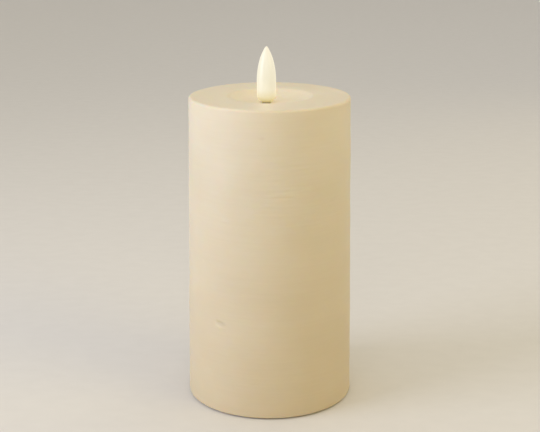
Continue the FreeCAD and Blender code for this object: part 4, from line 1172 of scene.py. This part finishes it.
@dataclass
class Flame(SubAssembly):
    """The hollow plastic flame on its neck.

    Attributes:
        height: the flame from its rounded foot to its tip.
        widest: height of its widest place above the foot.
        shoulder: height of the shoulder, where the point begins.
        shoulder_radius: the flame there.
        foot_round: rounding of the foot.
        side_curve: curve of the side up to the shoulder.
        point_curve: curve of the side above it.
        tip_radius: the blunt tip.
        neck_radius: the neck.
        wall: wall of the flame.
        neck_bore: bore of the neck.
        columns: faces round the flame.
    """

    height: float = 29.4 * MM
    widest: float = 12.0 * MM
    shoulder: float = 19.4 * MM
    shoulder_radius: float = 4.35 * MM
    foot_round: float = 3.4 * MM
    side_curve: float = 45.0 * MM
    point_curve: float = 29.0 * MM
    tip_radius: float = 0.7 * MM
    neck_radius: float = 2.2 * MM
    wall: float = 1.1 * MM
    neck_bore: float = 1.7 * MM
    columns: int = 96

    def __post_init__(self) -> None:
        """Reads the flame's axis, radius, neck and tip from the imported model."""
        low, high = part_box("flame_tip")
        self.axis_x = (low.x + high.x) / 2
        self.radius = (high.y - low.y) / 2
        self.neck_low, self.tip = low.z, high.z
        self.foot = self.tip - self.height

    def side(self, inset: float, neck: float) -> list[Vector]:
        """Half of the flame's skin, from the foot of the neck to the tip.

        Args:
            inset: how far the skin lies inside the outer one.
            neck: radius of the neck.

        Returns:
            The points of the skin.
        """
        foot, tip = self.foot + inset, self.tip - inset * 2
        skin = Outline(neck, self.neck_low)
        skin.line(neck, foot - 0.3 * MM, 1.5 * MM)
        skin.arc(neck + 0.3 * MM, foot, -0.3 * MM, 0.12 * MM)
        skin.line(self.radius - self.foot_round, foot, 0.5 * MM)
        curve = self.foot_round - inset
        skin.arc(self.radius - inset, foot + curve, curve, 0.35 * MM)
        skin.line(self.radius - inset, self.foot + self.widest, 0.8 * MM)
        shoulder = self.foot + self.shoulder
        skin.arc(self.shoulder_radius - inset, shoulder, self.side_curve, 0.5 * MM)
        blunt = self.tip_radius
        skin.arc(blunt, tip - blunt / 2, self.point_curve, 0.4 * MM)
        skin.arc(0, tip, blunt * 1.25, 0.08 * MM)
        return skin.points

    def build(self) -> None:
        """Turns the outer and inner skins as one closed wall."""
        outer = self.side(0, self.neck_radius)
        inner = self.side(self.wall, self.neck_bore)
        skin = Outline(*outer[0])
        skin.points = [*outer, *reversed(inner), outer[0]]
        piece = skin.turned(self.columns, self.axis_x)
        LitPlastic(
            name="lit_flame",
            colour=shown(150, 144, 122),
            roughness=0.34,
            foot=self.foot,
            tip=self.tip,
        ).wear(piece)
        adopt(piece, "flame", self.body, "flame", "flame_tip")
        piece.visible_shadow = False


IVORY = Moulded("ivory_plastic", shown(226, 214, 188), 0.5, scatter=0.25)
WHITE = Moulded("white_plastic", shown(232, 229, 220), 0.42, scatter=0.2)
BLACK = Moulded("black_plastic", shown(34, 34, 36), 0.44, patchiness=0.2)
STEEL = Metal("zinc_steel", shown(188, 189, 190), 0.3, tarnish=shown(142, 138, 130))
TIN = Metal("tinned_metal", shown(206, 206, 202), 0.28, tarnish=shown(160, 158, 150))
NICKEL = Metal(
    "nickel_contact", shown(204, 200, 190), 0.26, shown(158, 148, 128), (2 * MM, 2 * MM, 0.15 * MM)
)
CHIP = Moulded("chip_epoxy", shown(30, 30, 31), 0.62, patchiness=0.25)
RED_SLEEVE = Moulded("red_insulation", shown(184, 36, 30), 0.38, patchiness=0.12)
BLACK_SLEEVE = Moulded("black_insulation", shown(32, 32, 34), 0.38, patchiness=0.2)
PAPER = Moulded("studio_paper", shown(222, 219, 214), 0.85, 2.0 * MM, 0.0, 0.02)


class LampPost(SubAssembly):
    """The stem that carries the flame's holder, and the lamp in it."""

    finishes: ClassVar[dict[str, Finish]] = {
        "stem_tube": WHITE,
        "flame_holder": WHITE,
        "stem_screws": STEEL,
        "led_lens": ClearResin("clear_resin", shown(250, 236, 196), 0.12),
        "led_leads": TIN,
        "lead_sleeves": Moulded("shrink_sleeve", shown(40, 40, 42), 0.5, patchiness=0.2),
        "led_grommet": Moulded("grommet_rubber", shown(58, 56, 54), 0.7, patchiness=0.2),
    }


class BatteryBase(SubAssembly):
    """The base plate with its battery bay, the cover over it, the cells and their contacts."""

    finishes: ClassVar[dict[str, Finish]] = {
        "base_plate": IVORY,
        "box_cover": WHITE,
        "cover_screws": STEEL,
        "battery_front": CellJacket(
            "cell_jacket_front", shown(38, 74, 92), 0.3, "battery_front", 1
        ),
        "battery_rear": CellJacket(
            "cell_jacket_rear", shown(38, 74, 92), 0.3, "battery_rear", -1
        ),
        "positive_plate": NICKEL,
        "negative_plate": NICKEL,
        "bridge_plate": NICKEL,
        "negative_spring": NICKEL,
        "bridge_spring": NICKEL,
        "glue_beads": Moulded(
            "hot_glue", shown(232, 226, 206), 0.3, 2 * MM, 0.05 * MM, scatter=0.5
        ),
    }


class BatteryDoor(SubAssembly):
    """The hinged door under the cells."""

    body: ClassVar[Body] = Body.DOOR
    finishes: ClassVar[dict[str, Finish]] = {"battery_door": IVORY}


class SwitchSlider(SubAssembly):
    """What slides in the switch: the knob outside, and the slider with its wiper inside."""

    body: ClassVar[Body] = Body.SWITCH
    finishes: ClassVar[dict[str, Finish]] = {
        "switch_knob": BLACK,
        "switch_actuator": BLACK,
        "switch_wiper": NICKEL,
    }


class SwitchCan(SubAssembly):
    """The switch's metal can, with the board and the pins that close it."""

    finishes: ClassVar[dict[str, Finish]] = {
        "switch_frame": TIN,
        "switch_pins": TIN,
        "switch_base": Moulded("phenolic_board", shown(96, 58, 30), 0.5, patchiness=0.2),
    }


@dataclass
class Electronics(SubAssembly):
    """The timer board, what is soldered on it, and the solder itself.

    Attributes:
        joint_radius: foot of a solder joint on its pad.
        joint_neck: the joint where it climbs the wire.
        joint_height: height of a joint.
        wire_radius: the insulated wires.
        pin_count: pins of the switch that come through the board.
        pin_spacing: distance between them.
    """

    joint_radius: float = 0.95 * MM
    joint_neck: float = 0.5 * MM
    joint_height: float = 1.05 * MM
    wire_radius: float = 0.55 * MM
    pin_count: int = 4
    pin_spacing: float = 2.5 * MM

    finishes: ClassVar[dict[str, Finish]] = {
        "circuit_board": SolderMask("solder_mask", shown(24, 84, 52), 0.34),
        "board_screws": STEEL,
        "timer_chip": CHIP,
        "chip_resistors": CHIP,
        "chip_capacitors": Moulded("capacitor_ceramic", shown(178, 142, 98), 0.5, patchiness=0.15),
        "timing_crystal": TIN,
    }
    wires: ClassVar[tuple[str, ...]] = (
        "wire_positive",
        "wire_negative",
        "wire_led_red",
        "wire_led_black",
    )

    def joint_places(self) -> list[Vector]:
        """Where each wire and each switch pin meets the board's top.

        Returns:
            The places.
        """
        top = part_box("circuit_board")[1].z
        low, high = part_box("switch_pins")
        middle = (low + high) / 2
        places = []
        for wire in self.wires:
            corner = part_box(wire)[0]
            places.append(Vector((corner.x + self.wire_radius, corner.y + self.wire_radius, top)))
        for number in range(self.pin_count):
            x = middle.x + (number - (self.pin_count - 1) / 2) * self.pin_spacing
            places.append(Vector((x, middle.y, top)))
        return places

    def build(self) -> None:
        """Turns one solder joint with a hollow flank, and copies it to every pad."""
        flank = Outline(0, 0).line(self.joint_radius, 0, 1 * MM)
        flank.arc(self.joint_neck, self.joint_height * 0.8, -self.joint_height, 0.2 * MM)
        flank.arc(0, self.joint_height, self.joint_neck * 1.3, 0.15 * MM)
        first = flank.turned(20)
        TIN.wear(first)
        for number, place in enumerate(self.joint_places(), 1):
            adopt(copied(first, place), f"solder_joint_{number}", self.body, "tinned_metal")
        bpy.data.objects.remove(first)


class Wiring(SubAssembly):
    """The insulated wires between the contacts, the board and the lamp."""

    finishes: ClassVar[dict[str, Finish]] = {
        "wire_positive": RED_SLEEVE,
        "wire_led_red": RED_SLEEVE,
        "wire_negative": BLACK_SLEEVE,
        "wire_led_black": BLACK_SLEEVE,
    }


# ---------------------------------------------------------------- studio


@dataclass(frozen=True)
class Softbox:
    """A large soft light.

    Attributes:
        name: its name.
        place: where it stands.
        width: its width.
        height: its height.
        power: its power in watts.
        colour: colour of its light.
        spread: degrees of its beam, which keeps the floor beside it from glaring.
    """

    name: str
    place: Place
    width: float
    height: float
    power: float
    colour: Colour
    spread: float = 100

    def hang(self, target: Vector) -> None:
        """Adds the light and turns it to a target.

        Args:
            target: what it points at.
        """
        bpy.ops.object.light_add(type="AREA", location=self.place)
        lamp = bpy.context.object
        lamp.name = self.name
        lamp.rotation_euler = (target - lamp.location).to_track_quat("-Z", "Y").to_euler()
        lamp.data.shape = "RECTANGLE"
        lamp.data.size = self.width
        lamp.data.size_y = self.height
        lamp.data.energy = self.power
        lamp.data.color = self.colour
        lamp.data.spread = math.radians(self.spread)
        lamp.visible_camera = False


@dataclass
class Studio:
    """A pale floor that curves up into a round wall, soft lights and the camera.

    Attributes:
        floor_radius: how far the flat floor reaches.
        cove: curve between floor and wall.
        wall_height: height of the wall.
        camera_place: where the camera stands.
        camera_tilt: degrees that it looks down.
        lens: its focal length in millimetres.
        stage_columns: faces round the floor and the wall.
        glow_power: power of the light that the flame gives to the wax, in watts.
        glow_colour: its colour.
        glow_drop: how far it stands below the flame's tip.
        glow_radius: its radius.
        sky_colour: colour of the even light.
        sky_strength: its strength.
    """

    floor_radius: float = 3.0
    cove: float = 1.2
    wall_height: float = 1.8
    camera_place: Place = (0.0002, -0.647, 0.285)
    camera_tilt: float = 15.87
    lens: float = 81.5
    stage_columns: int = 96
    glow_power: float = 0.0016
    glow_colour: Colour = (1.0, 0.84, 0.52)
    glow_drop: float = 14 * MM
    glow_radius: float = 4 * MM
    sky_colour: Colour = (1.0, 0.965, 0.90)
    sky_strength: float = 0.72

    softboxes: ClassVar[tuple[Softbox, ...]] = (
        Softbox("key_light", (-1.1, -0.45, 0.46), 0.7, 0.9, 2.9, (0.93, 0.98, 1.19)),
        Softbox("front_light", (-0.2, -1.2, 0.7), 0.8, 0.8, 0.56, (1.0, 0.94, 0.82)),
        Softbox("warm_fill", (1.0, -0.6, 0.75), 0.8, 0.8, 1.3, (1.0, 0.78, 0.22)),
        Softbox("back_light", (0.75, 0.85, 0.55), 0.4, 0.7, 0.41, (1.0, 0.84, 0.48)),
    )

    def build(self) -> None:
        """Builds the stage, hangs the lights and sets the camera."""
        self.build_stage()
        low, high = cad_box
        target = (low + high) / 2
        for softbox in self.softboxes:
            softbox.hang(target)
        self.light_glow()
        self.light_world()
        self.set_camera()

    def build_stage(self) -> None:
        """Turns the floor and the wall as one sheet."""
        outer = self.floor_radius + self.cove
        sheet = Outline(0, 0).line(self.floor_radius, 0, 0.25)
        sheet.arc(outer, self.cove, self.cove, 0.1).line(outer, self.wall_height, 0.4)
        stage = sheet.turned(self.stage_columns)
        stage.name = "studio_floor"
        PAPER.wear(stage)

    def light_glow(self) -> None:
        """Adds the light that leaves the flame."""
        low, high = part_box("flame_tip")
        place = ((low.x + high.x) / 2, 0, high.z - self.glow_drop)
        bpy.ops.object.light_add(type="POINT", location=place)
        glow = bpy.context.object
        glow.name = "flame_glow"
        glow.data.energy = self.glow_power
        glow.data.color = self.glow_colour
        glow.data.shadow_soft_size = self.glow_radius
        glow.visible_camera = False

    def light_world(self) -> None:
        """Sets a weak even light from all round."""
        world = bpy.data.worlds.new("studio")
        bpy.context.scene.world = world
        world.use_nodes = True
        background = world.node_tree.nodes["Background"]
        background.inputs["Color"].default_value = (*self.sky_colour, 1.0)
        background.inputs["Strength"].default_value = self.sky_strength

    def set_camera(self) -> None:
        """Sets the camera, level across and tilted down, and shows colours as they are."""
        turn = (math.radians(90 - self.camera_tilt), 0, 0)
        bpy.ops.object.camera_add(location=self.camera_place, rotation=turn)
        camera = bpy.context.object
        camera.data.lens = self.lens
        camera.data.clip_start = 0.01
        bpy.context.scene.camera = camera
        bpy.context.scene.view_settings.view_transform = "Standard"


def main() -> None:
    """Builds every sub-assembly, then the studio round them."""
    logging.basicConfig(level=logging.INFO, format="%(message)s")
    for part in (
        WaxPillar(),
        Flame(),
        LampPost(),
        BatteryBase(),
        BatteryDoor(),
        SwitchSlider(),
        SwitchCan(),
        Electronics(),
        Wiring(),
    ):
        part.build()
        part.dress()
    Studio().build()


if __name__ == "__main__":
    main()
